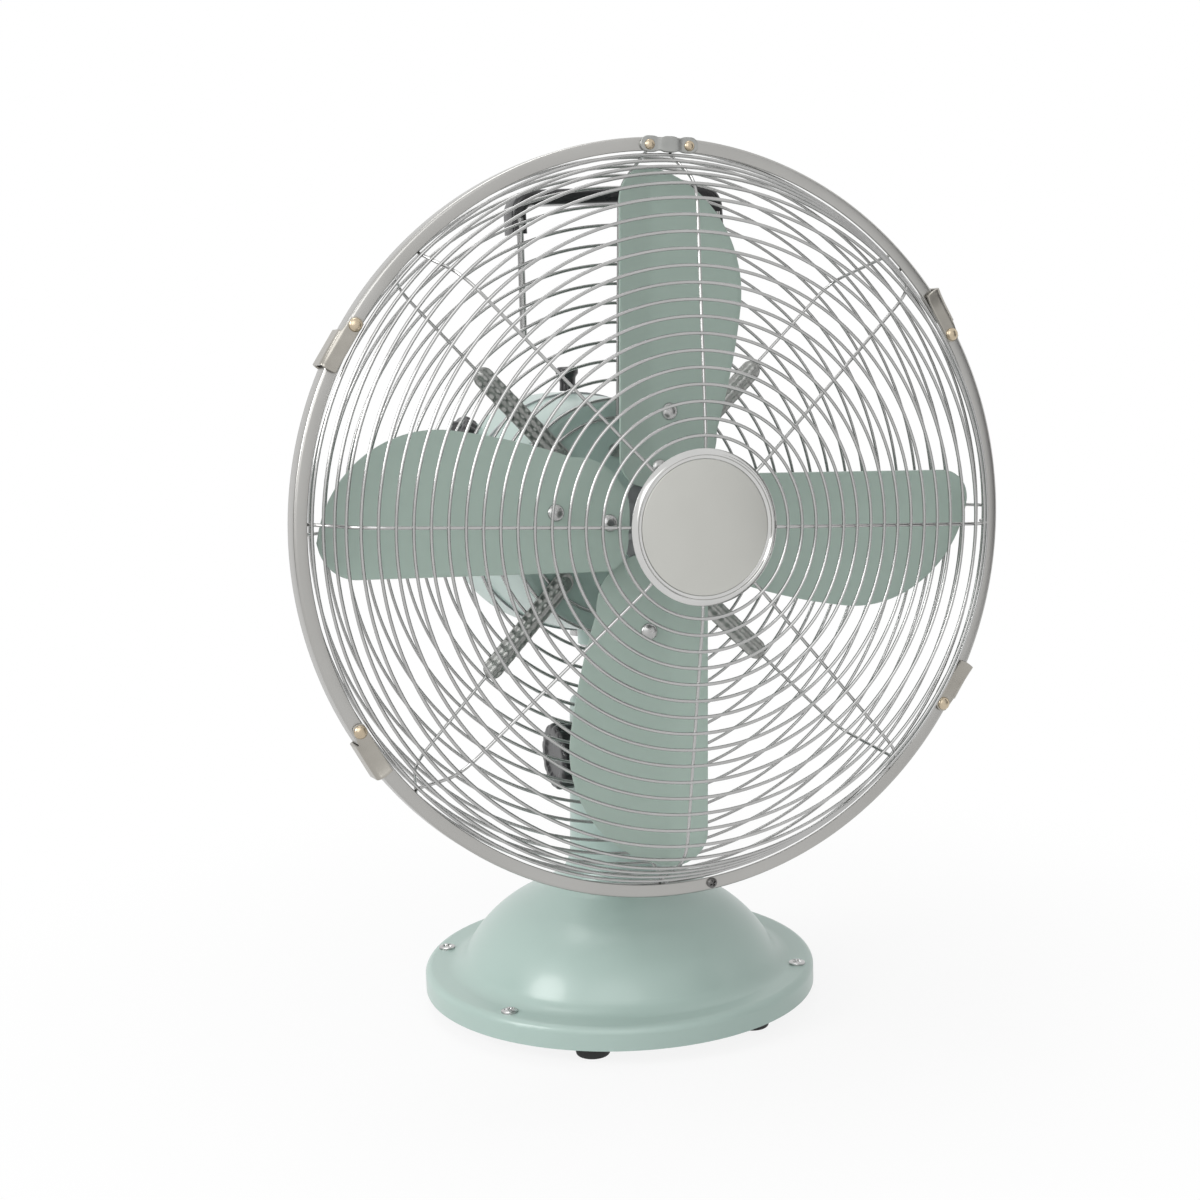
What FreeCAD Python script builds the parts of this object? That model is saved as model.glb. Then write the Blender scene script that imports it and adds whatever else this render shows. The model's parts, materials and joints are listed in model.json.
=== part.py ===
import FreeCAD, Part
import math
import os
import re
import Sketcher
from FreeCAD import Placement, Rotation, Vector

# Desk fan with an oscillating, tilting head. Millimetres and degrees. +Z is up, the fan faces -Y, and the
# origin is on the table under the middle of the whole fan, a little ahead of the column.

SIZES = {
    "column_back": 9.22,
    # base and column
    "foot_height": 8,
    "foot_radius": 9,
    "foot_inset": 16.8,
    "foot_angle": 31,
    "base_radius": 94.8,
    "flange_height": 11,
    "rim_round": 3.5,
    "dome_foot_fillet": 10,
    "ledge_width": 11.1,
    "dome_shoulder_share": 0.571,
    "dome_slope": 27.1,
    "base_wall": 2.5,
    "neck_radius": 22.4,
    "neck_root": 76,
    "neck_fillet": 20,
    "neck_top_radius": 20.4,
    "neck_bore": 9,
    "plate_thickness": 2,
    "flange_screw_angle": 57,
    "flange_screw_head": 3.4,
    "weight_radius": 60,
    "weight_height": 7,
    "gland_radius": 5.5,
    # tilt joint
    "tilt_height": 123.5,
    "tongue_width": 17,
    "tongue_radius": 14,
    "fork_gap": 19.4,
    "fork_depth": 18.5,
    "fork_rise": 26.5,
    "neck_bridge": 17,
    "tilt_bolt_radius": 4,
    "tilt_knob_radius": 17,
    "tilt_knob_length": 9.5,
    "knuckle_radius": 11,
    "knuckle_rise": 38,
    "head_tilt": 4.8,
    # swivel joint
    "axis_rise": 113.6,
    "swivel_pin_radius": 5,
    "swivel_boss_radius": 14,
    "swivel_boss_drop": 61,
    "swivel_boss_top": 45,
    "washer_thickness": 1,
    "running_fit": 0.05,
    "clearance": 0.3,
    # motor
    "motor_front": 24.5,
    "cover_radius": 55,
    "cover_thickness": 3,
    "cover_round": 4,
    "housing_radius": 57.2,
    "housing_wall": 2.5,
    "housing_back": 30,
    "bracket_thickness": 2,
    "shell_radius": 58.2,
    "shell_back": 88,
    "shell_round": 27,
    "vent_width": 3,
    "vent_inner": 12,
    "vent_outer": 27,
    "vent_count": 16,
    "shaft_radius": 4,
    "shaft_front": 84,
    "bearing_radius": 7,
    "bearing_length": 9,
    "bearing_proud": 3,
    "cover_screw_circle": 31,
    "screw_radius": 1.6,
    "screw_head": 3.2,
    "stator_radius": 40,
    "stator_bore": 22,
    "stator_front": 12,
    "stator_back": 18,
    "coil_length": 8,
    "air_gap": 0.5,
    # oscillation gearing
    "worm_radius": 3.6,
    "worm_bore": 2,
    "worm_length": 12,
    "wheel_radius": 6.1,
    "wheel_back": 60.5,
    "wheel_height": 8,
    "spindle_radius": 2.8,
    "spindle_top": 20,
    "pull_rod_radius": 1.8,
    "pinion_radius": 2.2,
    "crank_gear_radius": 12.5,
    "crank_spindle_radius": 3.2,
    "gear_width": 4,
    "crank_back": 45.5,
    "crank_gear_drop": 44,
    "crank_below_shell": 1.8,
    "crank_thickness": 2.5,
    "case_left": 8,
    "case_right": 26,
    "case_top": 12,
    "case_bottom": 47,
    "case_back": 70,
    "case_wall": 2,
    "crank_radius": 11.5,
    "crank_throw": 8,
    "link_below_crank": 4,
    "link_width": 7,
    "link_thickness": 2,
    "link_stud_radius": 2.5,
    "pull_knob_radius": 5.4,
    "pull_knob_height": 12,
    # speed switch
    "switch_angle": 35,
    "switch_back": 62,
    "speed_knob_radius": 14,
    "speed_knob_length": 10,
    "switch_boss_proud": 0.2,
    "switch_boss_depth": 8,
    "switch_stem_radius": 3,
    # blades
    "blade_plane": 70.5,
    "blade_thickness": 1,
    "blade_tip": 156,
    "blade_straight_edge": 21,
    "blade_crease": 5,
    "blade_bulge": 41.5,
    "blade_bulge_height": 97,
    "blade_root": 17.5,
    "crease_rise": 3.5,
    "straight_edge_rise": 9,
    "bulge_edge_drop": 1,
    "blade_count": 4,
    "rotor_turn": 3.3,
    "spider_radius": 20,
    "spider_depth": 71.6,
    "spider_thickness": 3,
    "spider_arm_width": 16,
    "spider_arm_reach": 56,
    "inner_rivet": 24,
    "outer_rivet": 49,
    "hub_radius": 9,
    "hub_length": 14,
    "rivet_radius": 3.2,
    "arm_thickness": 2,
    # cage
    "band_radius": 168,
    "band_face": 6,
    "band_front": 82.5,
    "band_depth": 11,
    "band_wall": 1.2,
    "wire": 1.5,
    "front_turn": 4.3,
    "rear_turn": 1.9,
    "front_ring_first": 39,
    "front_hub_depth": 124,
    "front_dish": 7.2,
    "front_shoulder_inset": 32,
    "front_shoulder_round": 20,
    "front_wall_angle": 64,
    "front_ring_count": 20,
    "rear_ring_first": 46,
    "rear_inner": 45,
    "rear_dish": 5,
    "rear_shoulder_inset": 27,
    "rear_shoulder_round": 16,
    "rear_wall_angle": 69,
    "rear_ring_count": 17,
    "spoke_count": 8,
    "ring_facets": 40,
    "badge_radius": 33.6,
    "badge_plate_radius": 29.4,
    "badge_depth": 125,
    "strap_inner": 36,
    "strap_outer": 98,
    "strap_width": 8.5,
    "strap_screw_circle": 41.5,
    "strap_sheet": 1.2,
    "clip_length": 23,
    "clip_width": 7,
    "clip_sheet": 1.2,
    "bracket_half_width": 13.5,
    "handle_half_width": 52,
    "handle_shift": 6.5,
    "handle_front": 32,
    "handle_depth": 15,
    "handle_top": 151,
    "handle_leg": 131.5,
    "handle_foot": 86,
    "grip_thickness": 7,
    "grip_round": 18,
    "strut_radius": 1.6,
}

# lengths that follow from the sizes
FOLLOWING = {
    "foot_circle": "base_radius - foot_inset",
    "flange_top": "foot_height + flange_height",
    "flange_screw_circle": "base_radius - (ledge_width + rim_round) / 2",
    "neck_top": "tilt_height + fork_rise",
    "fork_floor": "tilt_height - fork_depth",
    "neck_bore_top": "fork_floor - neck_bridge",
    "slope_radius": "neck_radius + neck_fillet * (1 - sin(dome_slope))",
    "slope_height": "neck_root - neck_fillet * cos(dome_slope)",
    "dome_foot": "base_radius - ledge_width",
    "dome_shoulder": "dome_foot * dome_shoulder_share",
    "shoulder_height": "slope_height - (dome_shoulder - slope_radius) * tan(dome_slope)",
    "wheel_offset": "worm_radius + wheel_radius + clearance",
    "crank_drop": "shell_radius + crank_below_shell",
    "link_drop": "crank_drop + crank_thickness + link_below_crank",
    "switch_boss_reach": "shell_radius + switch_boss_proud",
    "front_shoulder": "band_radius - front_shoulder_inset",
    "rear_shoulder": "band_radius - rear_shoulder_inset",
    # the dome's arc leaves the slope and meets the fillet at its foot without a crease
    "foot_run": "dome_foot - dome_shoulder",
    "foot_fall": "shoulder_height - flange_top - dome_foot_fillet",
    "foot_chord": "foot_run ^ 2 + foot_fall ^ 2 - dome_foot_fillet ^ 2",
    "foot_lean": "dome_foot_fillet - foot_run * sin(dome_slope) + foot_fall * cos(dome_slope)",
    "dome_round": "foot_chord / (2 * foot_lean)",
}

doc = FreeCAD.newDocument("DeskFan")
sheet = doc.addObject("Spreadsheet::Sheet", "sizes")
for row, (alias, number) in enumerate(SIZES.items(), start=1):
    sheet.set(f"A{row}", alias)
    sheet.set(f"B{row}", str(number))
    sheet.setAlias(f"B{row}", alias)
doc.recompute()

nodes = []


def spelled_out(formula):
    """A formula with each length that follows from the sizes written out."""
    def swap(match):
        word = match[0]
        return f"({spelled_out(FOLLOWING[word])})" if word in FOLLOWING else word
    return re.sub(r"[a-z][a-z_]*", swap, str(formula))


def size(formula):
    """The value of a formula of sheet names."""
    return float(sheet.evalExpression(spelled_out(formula)))


def bound(formula):
    """The same formula with each sheet name as a reference to the sheet."""
    return re.sub(r"[a-z][a-z_]*", lambda m: "sizes." + m[0] if m[0] in SIZES else m[0], spelled_out(formula))


column_frame = Placement(Vector(0, size("column_back"), 0), Rotation())


def node(name, thing, where=Placement()):
    thing.Label = name
    thing.Placement = column_frame.multiply(where).multiply(thing.Placement)
    nodes.append(thing)
    return thing


def feature(name, shape, where=Placement()):
    """A sub-part whose shape is set from sheet values in code."""
    thing = doc.addObject("Part::Feature", name)
    thing.Shape = shape
    return node(name, thing, where)


# ---- sketches and solids bound to the sheet ----


def sketch(body, plane, name):
    drawing = body.newObject("Sketcher::SketchObject", name)
    support = [f for f in body.Origin.OriginFeatures if f.Role == plane][0]
    drawing.AttachmentSupport = [(support, "")]
    drawing.MapMode = "FlatFace"
    return drawing


def pin_point(drawing, edge, end, x, y):
    """Holds one end of an edge at x, y, two formulas."""
    for kind, formula in (("DistanceX", x), ("DistanceY", y)):
        index = drawing.addConstraint(Sketcher.Constraint(kind, edge, end, size(formula)))
        drawing.setExpression(f"Constraints[{index}]", bound(formula))


def outline(drawing, corners):
    """A closed outline. Each corner is (x, y), or (x, y, radius) where the edge that arrives there is an arc,
    which turns left for a positive radius and right for a negative one."""
    count = len(corners)
    first_edge = drawing.GeometryCount
    points = [Vector(size(c[0]), size(c[1]), 0) for c in corners]
    for i in range(count):
        start, end, corner = points[i], points[(i + 1) % count], corners[(i + 1) % count]
        if len(corner) == 2:
            drawing.addGeometry(Part.LineSegment(start, end))
            continue
        radius = size(corner[2])
        chord = end - start
        left = Vector(-chord.y, chord.x, 0).normalize()
        rise = math.sqrt(radius**2 - (chord.Length / 2) ** 2)
        side = math.copysign(1, radius)
        centre = (start + end) / 2 + left * rise * side
        ring = Part.Circle(centre, Vector(0, 0, 1), abs(radius))
        first, last = (start, end) if side > 0 else (end, start)
        drawing.addGeometry(Part.ArcOfCircle(ring, ring.parameter(first), ring.parameter(last)))
    starts, ends = [], []
    for i in range(count):
        turned = len(corners[(i + 1) % count]) == 3 and size(corners[(i + 1) % count][2]) < 0
        starts.append(2 if turned else 1)
        ends.append(1 if turned else 2)
    for i in range(count):
        edge, after = first_edge + i, (i + 1) % count
        meeting = Sketcher.Constraint("Coincident", edge, ends[i], first_edge + after, starts[after])
        drawing.addConstraint(meeting)
        pin_point(drawing, edge, starts[i], corners[i][0], corners[i][1])
    for i in range(count):
        corner = corners[(i + 1) % count]
        if len(corner) == 3:
            radius = Sketcher.Constraint("Radius", first_edge + i, abs(size(corner[2])))
            index = drawing.addConstraint(radius)
            drawing.setExpression(f"Constraints[{index}]", f"abs({bound(corner[2])})")


def circle(drawing, x, y, radius):
    edge = drawing.addGeometry(Part.Circle(Vector(size(x), size(y), 0), Vector(0, 0, 1), size(radius)))
    pin_point(drawing, edge, 3, x, y)
    index = drawing.addConstraint(Sketcher.Constraint("Radius", edge, size(radius)))
    drawing.setExpression(f"Constraints[{index}]", bound(radius))


def turned(name, corners, plane="XY_Plane", axis="V_Axis"):
    """A body revolved from a half section. On XY_Plane it turns about Y, on XZ_Plane about Z."""
    body = doc.addObject("PartDesign::Body", name)
    section = sketch(body, plane, name + "_section")
    outline(section, corners)
    turn = body.newObject("PartDesign::Revolution", name + "_turn")
    turn.Profile = section
    turn.ReferenceAxis = (section, [axis])
    turn.Angle = 360
    doc.recompute()
    return body


def padded(name, plane, length, corners=(), circles=(), symmetric=False, back=False):
    """A body padded from an outline and circles; the circles inside the outline are holes."""
    body = doc.addObject("PartDesign::Body", name)
    shape = sketch(body, plane, name + "_outline")
    if corners:
        outline(shape, corners)
    for x, y, radius in circles:
        circle(shape, x, y, radius)
    pad = body.newObject("PartDesign::Pad", name + "_pad")
    pad.Profile = shape
    pad.SideType = "Symmetric" if symmetric else "One side"
    pad.Reversed = back
    pad.setExpression("Length", bound(length))
    doc.recompute()
    return body


def cut_through(body, plane, name, corners=(), circles=()):
    """A pocket right through the body, both ways from the plane, which has to take material away."""
    before = body.Shape.Volume
    shape = sketch(body, plane, name + "_outline")
    if corners:
        outline(shape, corners)
    for x, y, radius in circles:
        circle(shape, x, y, radius)
    pocket = body.newObject("PartDesign::Pocket", name)
    pocket.Profile = shape
    pocket.SideType = "Symmetric"
    pocket.Type = "ThroughAll"
    doc.recompute()
    assert body.Shape.Volume < before, name
    return pocket


def repeat_round(body, pocket, axis, count):
    pattern = body.newObject("PartDesign::PolarPattern", pocket.Name + "_round")
    pattern.Originals = [pocket]
    pattern.Axis = ([f for f in body.Origin.OriginFeatures if f.Role == axis][0], [""])
    pattern.Angle = 360
    pattern.setExpression("Occurrences", bound(count))
    body.Tip = pattern
    doc.recompute()


def rod(name, radius, length, at=(0, 0, 0), along=(0, 0, 1)):
    """A plain bound cylinder from a point along a direction."""
    thing = doc.addObject("Part::Cylinder", name)
    thing.setExpression("Radius", bound(radius))
    thing.setExpression("Height", bound(length))
    start = Vector(*[size(v) for v in at])
    thing.Placement = Placement(start, Rotation(Vector(0, 0, 1), Vector(*along)))
    return thing


def box(name, low, high):
    """A bound box between two corners."""
    thing = doc.addObject("Part::Box", name)
    for side, near, far in zip(("Length", "Width", "Height"), low, high):
        thing.setExpression(side, bound(f"({far}) - ({near})"))
    thing.Placement.Base = Vector(*[size(v) for v in low])
    return thing


def cone(name, low, high, length, at=(0, 0, 0)):
    thing = doc.addObject("Part::Cone", name)
    thing.setExpression("Radius1", bound(low))
    thing.setExpression("Radius2", bound(high))
    thing.setExpression("Height", bound(length))
    thing.Placement.Base = Vector(*[size(v) for v in at])
    return thing


def group(name, things, where=Placement()):
    """Several separate solids that share one node."""
    together = doc.addObject("Part::Compound", name)
    together.Links = things
    doc.recompute()
    return node(name, together, where)


def joined(name, things):
    together = doc.addObject("Part::MultiFuse", name)
    together.Shapes = things
    doc.recompute()
    return together


def cut(name, base, tool):
    result = doc.addObject("Part::Cut", name)
    result.Base = base
    result.Tool = tool
    doc.recompute()
    return result


def spin(angle, axis=(0, 1, 0), at=(0, 0, 0)):
    """A turn about an axis through a point."""
    return Placement(Vector(0, 0, 0), Rotation(Vector(*axis), angle), Vector(*at))


# ---- frames: where the tilting and the swivelling pieces stand at rest ----

tilt_frame = Placement(Vector(0, 0, size("tilt_height")), Rotation(Vector(1, 0, 0), -size("head_tilt")))
head_frame = tilt_frame.multiply(Placement(Vector(0, 0, size("axis_rise")), Rotation()))

# ---- base and column ----


def dome_foot_point(radius):
    """Where an arc of a radius about the dome's centre meets the fillet at the dome's foot."""
    centre_x = "(dome_shoulder - dome_round * sin(dome_slope))"
    centre_z = "(shoulder_height - dome_round * cos(dome_slope))"
    share = f"({radius}) / (dome_round + dome_foot_fillet)"
    return (f"{centre_x} + (dome_foot - {centre_x}) * {share}",
            f"{centre_z} + (flange_top + dome_foot_fillet - {centre_z}) * {share}")


def around(radius, angle):
    """A point on a circle about the column, at an angle from the front."""
    return f"{radius} * sin({angle})", f"-{radius} * cos({angle})"


def make_base_shell():
    inner_shoulder = "(dome_shoulder - base_wall * sin(dome_slope))"
    inner_shoulder_height = "(shoulder_height - base_wall * cos(dome_slope))"
    inner_cone = f"{inner_shoulder_height} + ({inner_shoulder} - neck_bore) * tan(dome_slope)"
    shell = turned("base_shell", [
        ("base_radius", "foot_height"),
        ("base_radius", "flange_top - rim_round"),
        ("base_radius - rim_round", "flange_top", "rim_round"),
        ("dome_foot", "flange_top"),
        (*dome_foot_point("dome_round"), "-dome_foot_fillet"),
        ("dome_shoulder", "shoulder_height", "dome_round"),
        ("slope_radius", "slope_height"),
        ("neck_radius", "neck_root", "-neck_fillet"),
        ("neck_top_radius", "neck_top - base_wall"),
        ("neck_top_radius - base_wall", "neck_top", "base_wall"),
        ("0", "neck_top"),
        ("0", "neck_bore_top"),
        ("neck_bore", "neck_bore_top"),
        ("neck_bore", inner_cone),
        (inner_shoulder, inner_shoulder_height),
        (*dome_foot_point("dome_round - base_wall"), "-(dome_round - base_wall)"),
        ("dome_foot", "flange_top - base_wall", "dome_foot_fillet + base_wall"),
        ("base_radius - base_wall", "flange_top - base_wall"),
        ("base_radius - base_wall", "foot_height"),
    ], plane="XZ_Plane")
    cut_through(shell, "XZ_Plane", "fork", [
        ("-fork_gap / 2", "fork_floor"),
        ("fork_gap / 2", "fork_floor"),
        ("fork_gap / 2", "neck_top + base_wall"),
        ("-fork_gap / 2", "neck_top + base_wall"),
    ])
    cut_through(shell, "YZ_Plane", "bolt_bore", circles=[("0", "tilt_height", "tilt_bolt_radius")])
    holes = [(*around("flange_screw_circle", a), "flange_screw_head / 2") for a in flange_screw_angles]
    cut_through(shell, "XY_Plane", "flange_screw_bores", circles=holes)
    gland = sketch(shell, "XZ_Plane", "gland_outline")
    circle(gland, "0", gland_height, "gland_radius - 1.5")
    opening = shell.newObject("PartDesign::Pocket", "gland_opening")
    opening.Profile = gland
    opening.setExpression("Length", bound("base_radius + base_wall"))
    doc.recompute()
    return node("base_shell", shell)


flange_screw_angles = [
    "flange_screw_angle",
    "-flange_screw_angle",
    "(180 - flange_screw_angle)",
    "(flange_screw_angle - 180)",
]
gland_height = "foot_height + plate_thickness + clearance + gland_radius - 1.5"


def make_base_plate():
    """The bottom plate, with posts that reach the underside of the flange."""
    disc = rod("plate_disc", "base_radius - base_wall - clearance", "plate_thickness", (0, 0, "foot_height"))
    post_height = "flange_height - base_wall - plate_thickness"
    posts = []
    bores = []
    for index, angle in enumerate(flange_screw_angles):
        x, y = around("flange_screw_circle", angle)
        posts.append(rod(f"plate_post_{index}", "flange_screw_head", post_height,
                         (x, y, "foot_height + plate_thickness")))
        bores.append(rod(f"plate_bore_{index}", "flange_screw_head / 2", "flange_height",
                         (x, y, "foot_height + plate_thickness")))
    plate = cut("base_plate", joined("plate_and_posts", [disc] + posts), joined("plate_bores", bores))
    return node("base_plate", plate)


def make_flange_screws():
    screws = []
    for index, angle in enumerate(flange_screw_angles):
        x, y = around("flange_screw_circle", angle)
        shank = rod(f"flange_shank_{index}", "flange_screw_head / 2", "flange_height - plate_thickness",
                    (x, y, "foot_height + plate_thickness"))
        head = rod(f"flange_head_{index}", "flange_screw_head", "flange_screw_head / 2", (x, y, "flange_top"))
        screws.append(joined(f"flange_screw_{index}", [shank, head]))
    return group("flange_screws", screws)


def make_feet():
    feet = []
    for index, angle in enumerate(["foot_angle", "-foot_angle", "(180 - foot_angle)", "(foot_angle - 180)"]):
        x, y = around("foot_circle", angle)
        feet.append(cone(f"foot_{index}", "foot_radius * 0.85", "foot_radius", "foot_height", (x, y, 0)))
    return group("rubber_feet", feet)


def make_base_weight():
    low = "foot_height + plate_thickness"
    weight = turned("base_weight", [
        ("neck_bore + base_wall", low),
        ("weight_radius", low),
        ("weight_radius", f"{low} + weight_height"),
        ("neck_bore + base_wall", f"{low} + weight_height"),
    ], plane="XZ_Plane")
    return node("base_weight", weight)


def make_cord_gland():
    """The rubber sleeve in the back of the rim that the supply cord comes out of."""
    gland = turned("cord_gland", [
        ("gland_radius - 3", "base_radius - base_wall * 2"),
        ("gland_radius - 1.5", "base_radius - base_wall * 2"),
        ("gland_radius - 1.5", "base_radius"),
        ("gland_radius", "base_radius"),
        ("gland_radius - 1", "base_radius + base_wall"),
        ("gland_radius - 3", "base_radius + base_wall"),
    ])
    return node("cord_gland", gland, Placement(Vector(0, 0, size(gland_height)), Rotation()))


# ---- tilt joint in the fork of the column ----

collar_top = "(axis_rise - swivel_boss_drop - washer_thickness)"
link_bottom = "(axis_rise - link_drop)"
link_offset = "(wheel_offset + crank_throw)"

neck_taper = "(neck_radius - neck_top_radius) / (neck_top - neck_root)"
knob_seat = f"(neck_top_radius + (neck_top - tilt_height + tilt_knob_radius) * {neck_taper} + clearance)"


def make_tilt_bolt():
    shank = rod("tilt_shank", "tilt_bolt_radius", f"{knob_seat} * 2 + tilt_knob_length * 0.6",
                (f"-{knob_seat} - tilt_knob_length * 0.6", 0, "tilt_height"), (1, 0, 0))
    head = rod("tilt_bolt_head", "tilt_bolt_radius * 1.8", "tilt_bolt_radius",
               (knob_seat, 0, "tilt_height"), (1, 0, 0))
    return node("tilt_bolt", joined("tilt_bolt", [shank, head]))


def make_tilt_washers():
    thickness = "(fork_gap - tongue_width) / 2"
    washers = []
    for name, start in (("left", "-fork_gap / 2"), ("right", "tongue_width / 2")):
        at = (start, 0, "tilt_height")
        disc = rod(f"tilt_washer_{name}", "tongue_radius - 2", thickness, at, (1, 0, 0))
        bore = rod(f"tilt_washer_{name}_bore", "tilt_bolt_radius", thickness, at, (1, 0, 0))
        washers.append(cut(f"tilt_washer_ring_{name}", disc, bore))
    return group("tilt_washers", washers)


def make_knob(name, radius, length, bore, bore_depth):
    """A knob with eight flats, turned about Y, its face towards +Y."""
    knob = turned(name, [
        (0, bore_depth),
        (bore, bore_depth),
        (bore, 0),
        (f"{radius} - 2", 0),
        (radius, 2),
        (radius, f"{length} - 3"),
        (f"{radius} - 3", length, "4"),
        (0, length),
    ])
    flat = cut_through(knob, "XZ_Plane", name + "_flat", [
        (f"-{radius} / 2", f"{radius} - 1"),
        (f"{radius} / 2", f"{radius} - 1"),
        (f"{radius} / 2", f"{radius} + 1"),
        (f"-{radius} / 2", f"{radius} + 1"),
    ])
    repeat_round(knob, flat, "Y_Axis", "8")
    return knob


def make_tilt_knob():
    knob = make_knob("tilt_knob", "tilt_knob_radius", "tilt_knob_length",
                     "tilt_bolt_radius", "tilt_knob_length * 0.6")
    seat = Placement(Vector(-size(knob_seat), 0, size("tilt_height")), Rotation(Vector(0, 0, 1), 90))
    return node("tilt_knob", knob, seat)


def make_tilt_knuckle():
    """The tongue in the fork, the collar that holds the swivel pin, and the lug of the crank link."""
    tongue = padded("knuckle_tongue", "YZ_Plane", "tongue_width", corners=[
        ("-tongue_radius", 0),
        ("tongue_radius", 0, "tongue_radius * 1.0001"),
        ("knuckle_radius", "knuckle_rise"),
        ("-knuckle_radius", "knuckle_rise"),
    ], symmetric=True)
    cut_through(tongue, "YZ_Plane", "tongue_bore", circles=[(0, 0, "tilt_bolt_radius + running_fit")])
    collar = turned("knuckle_collar", [
        ("swivel_pin_radius", "knuckle_rise"),
        ("knuckle_radius", "knuckle_rise"),
        ("knuckle_radius", collar_top),
        ("swivel_pin_radius", collar_top),
    ], plane="XZ_Plane")
    lug_top = f"({link_bottom} - clearance)"
    lug_bottom = f"({lug_top} - knuckle_radius / 2)"
    side = "(link_width / 2 + 1)"
    lug = box("link_lug", ("0", f"-{side}", lug_bottom), (link_offset, side, lug_top))
    lug_end = rod("link_lug_end", "link_width / 2 + 1", "knuckle_radius / 2", (link_offset, 0, lug_bottom))
    stud = rod("link_stud", "link_stud_radius", "clearance + link_thickness * 1.5", (link_offset, 0, lug_top))
    pin_seat = rod("pin_seat", "swivel_pin_radius", f"{collar_top} - knuckle_rise", (0, 0, "knuckle_rise"))
    solid = joined("knuckle_solid", [tongue, collar, lug, lug_end, stud])
    return node("tilt_knuckle", cut("tilt_knuckle", solid, pin_seat), tilt_frame)


def make_swivel_pin():
    pin = rod("swivel_pin", "swivel_pin_radius", "axis_rise - swivel_boss_top + 3 - knuckle_rise",
              (0, 0, "knuckle_rise"))
    return node("swivel_pin", pin, tilt_frame)


def make_ring(name, inner, outer, thickness, height, where):
    ring = turned(name, [
        (inner, height),
        (outer, height),
        (outer, f"{height} + {thickness}"),
        (inner, f"{height} + {thickness}"),
    ], plane="XZ_Plane")
    return node(name, ring, where)


def make_swivel_washer():
    return make_ring("swivel_washer", "swivel_pin_radius", "swivel_boss_radius - 1", "washer_thickness",
                     collar_top, tilt_frame)


def make_swivel_clip():
    return make_ring("swivel_clip", "swivel_pin_radius", "swivel_pin_radius + 3", "washer_thickness",
                     "axis_rise - swivel_boss_top + running_fit", tilt_frame)


def make_crank_link():
    """The bar from the knuckle's stud back to under the crank."""
    bar = padded("crank_link", "XY_Plane", "link_thickness", corners=[
        ("-link_width / 2", 0),
        ("link_width / 2", 0, "link_width / 2 * 1.0001"),
        ("link_width / 2", "crank_back"),
        ("-link_width / 2", "crank_back", "link_width / 2 * 1.0001"),
    ])
    cut_through(bar, "XY_Plane", "link_eye", circles=[(0, 0, "link_stud_radius + running_fit")])
    at = Placement(Vector(size(link_offset), 0, size(link_bottom)), Rotation())
    return node("crank_link", bar, tilt_frame.multiply(at))

# ---- motor ----

cover_rim = "(cover_thickness + cover_round - motor_front)"
bracket_back = "(housing_back + bracket_thickness)"


def clock(radius, angle, depth):
    """A point in the head at an angle clockwise from the top, seen from the front."""
    return f"{radius} * sin({angle})", depth, f"{radius} * cos({angle})"


strap_angles = (45, 135, 225, 315)
strap_seat = "-(motor_front + wire + (strap_screw_circle - screw_head - rear_ring_first) * tan(rear_dish))"


def make_front_cover():
    disc = turned("front_cover_disc", [
        ("bearing_radius", "-motor_front - bearing_proud"),
        ("bearing_radius + cover_thickness", "-motor_front - bearing_proud"),
        ("bearing_radius + cover_thickness", "-motor_front"),
        ("cover_radius - cover_round", "-motor_front"),
        ("cover_radius", "cover_round - motor_front", "cover_round"),
        ("cover_radius", cover_rim),
        ("cover_radius - cover_thickness", cover_rim),
        ("cover_radius - cover_thickness", "cover_thickness - motor_front"),
        ("bearing_radius + cover_thickness", "cover_thickness - motor_front"),
        ("bearing_radius + cover_thickness", "bearing_length - motor_front - bearing_proud"),
        ("bearing_radius", "bearing_length - motor_front - bearing_proud"),
    ])
    pads = []
    bores = []
    for angle in strap_angles:
        at = clock("strap_screw_circle", f"({angle} + rear_turn)", strap_seat)
        height = f"({strap_seat}) * -1 - motor_front"
        pads.append(rod(f"strap_pad_{angle}", "screw_head", height, at, (0, 1, 0)))
        bores.append(rod(f"strap_bore_{angle}", "screw_radius", "cover_thickness * 3", at, (0, 1, 0)))
    for angle in cover_screw_angles:
        at = clock("cover_screw_circle", angle, "-motor_front")
        bores.append(rod(f"cover_bore_{angle}", "screw_radius", "cover_thickness * 2", at, (0, 1, 0)))
    solid = joined("front_cover_solid", [disc] + pads)
    cover = cut("motor_front_cover", solid, joined("cover_bores", bores))
    return node("motor_front_cover", cover, head_frame)


cover_screw_angles = (0, 90, 180, 270)


def make_screw(name, at, seat_depth, shank_length):
    """A pan-head screw that runs backwards into the head from its seat."""
    seat = (at[0], seat_depth, at[2])
    shank = rod(name + "_shank", "screw_radius", shank_length, seat, (0, 1, 0))
    head = rod(name + "_head", "screw_head", "screw_radius", seat, (0, -1, 0))
    return joined(name, [shank, head])


def make_cover_screws():
    screws = []
    for angle in cover_screw_angles:
        at = clock("cover_screw_circle", angle, "-motor_front")
        screws.append(make_screw(f"cover_screw_{angle}", at, "-motor_front", "cover_thickness"))
    return group("cover_screws", screws, head_frame)


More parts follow.
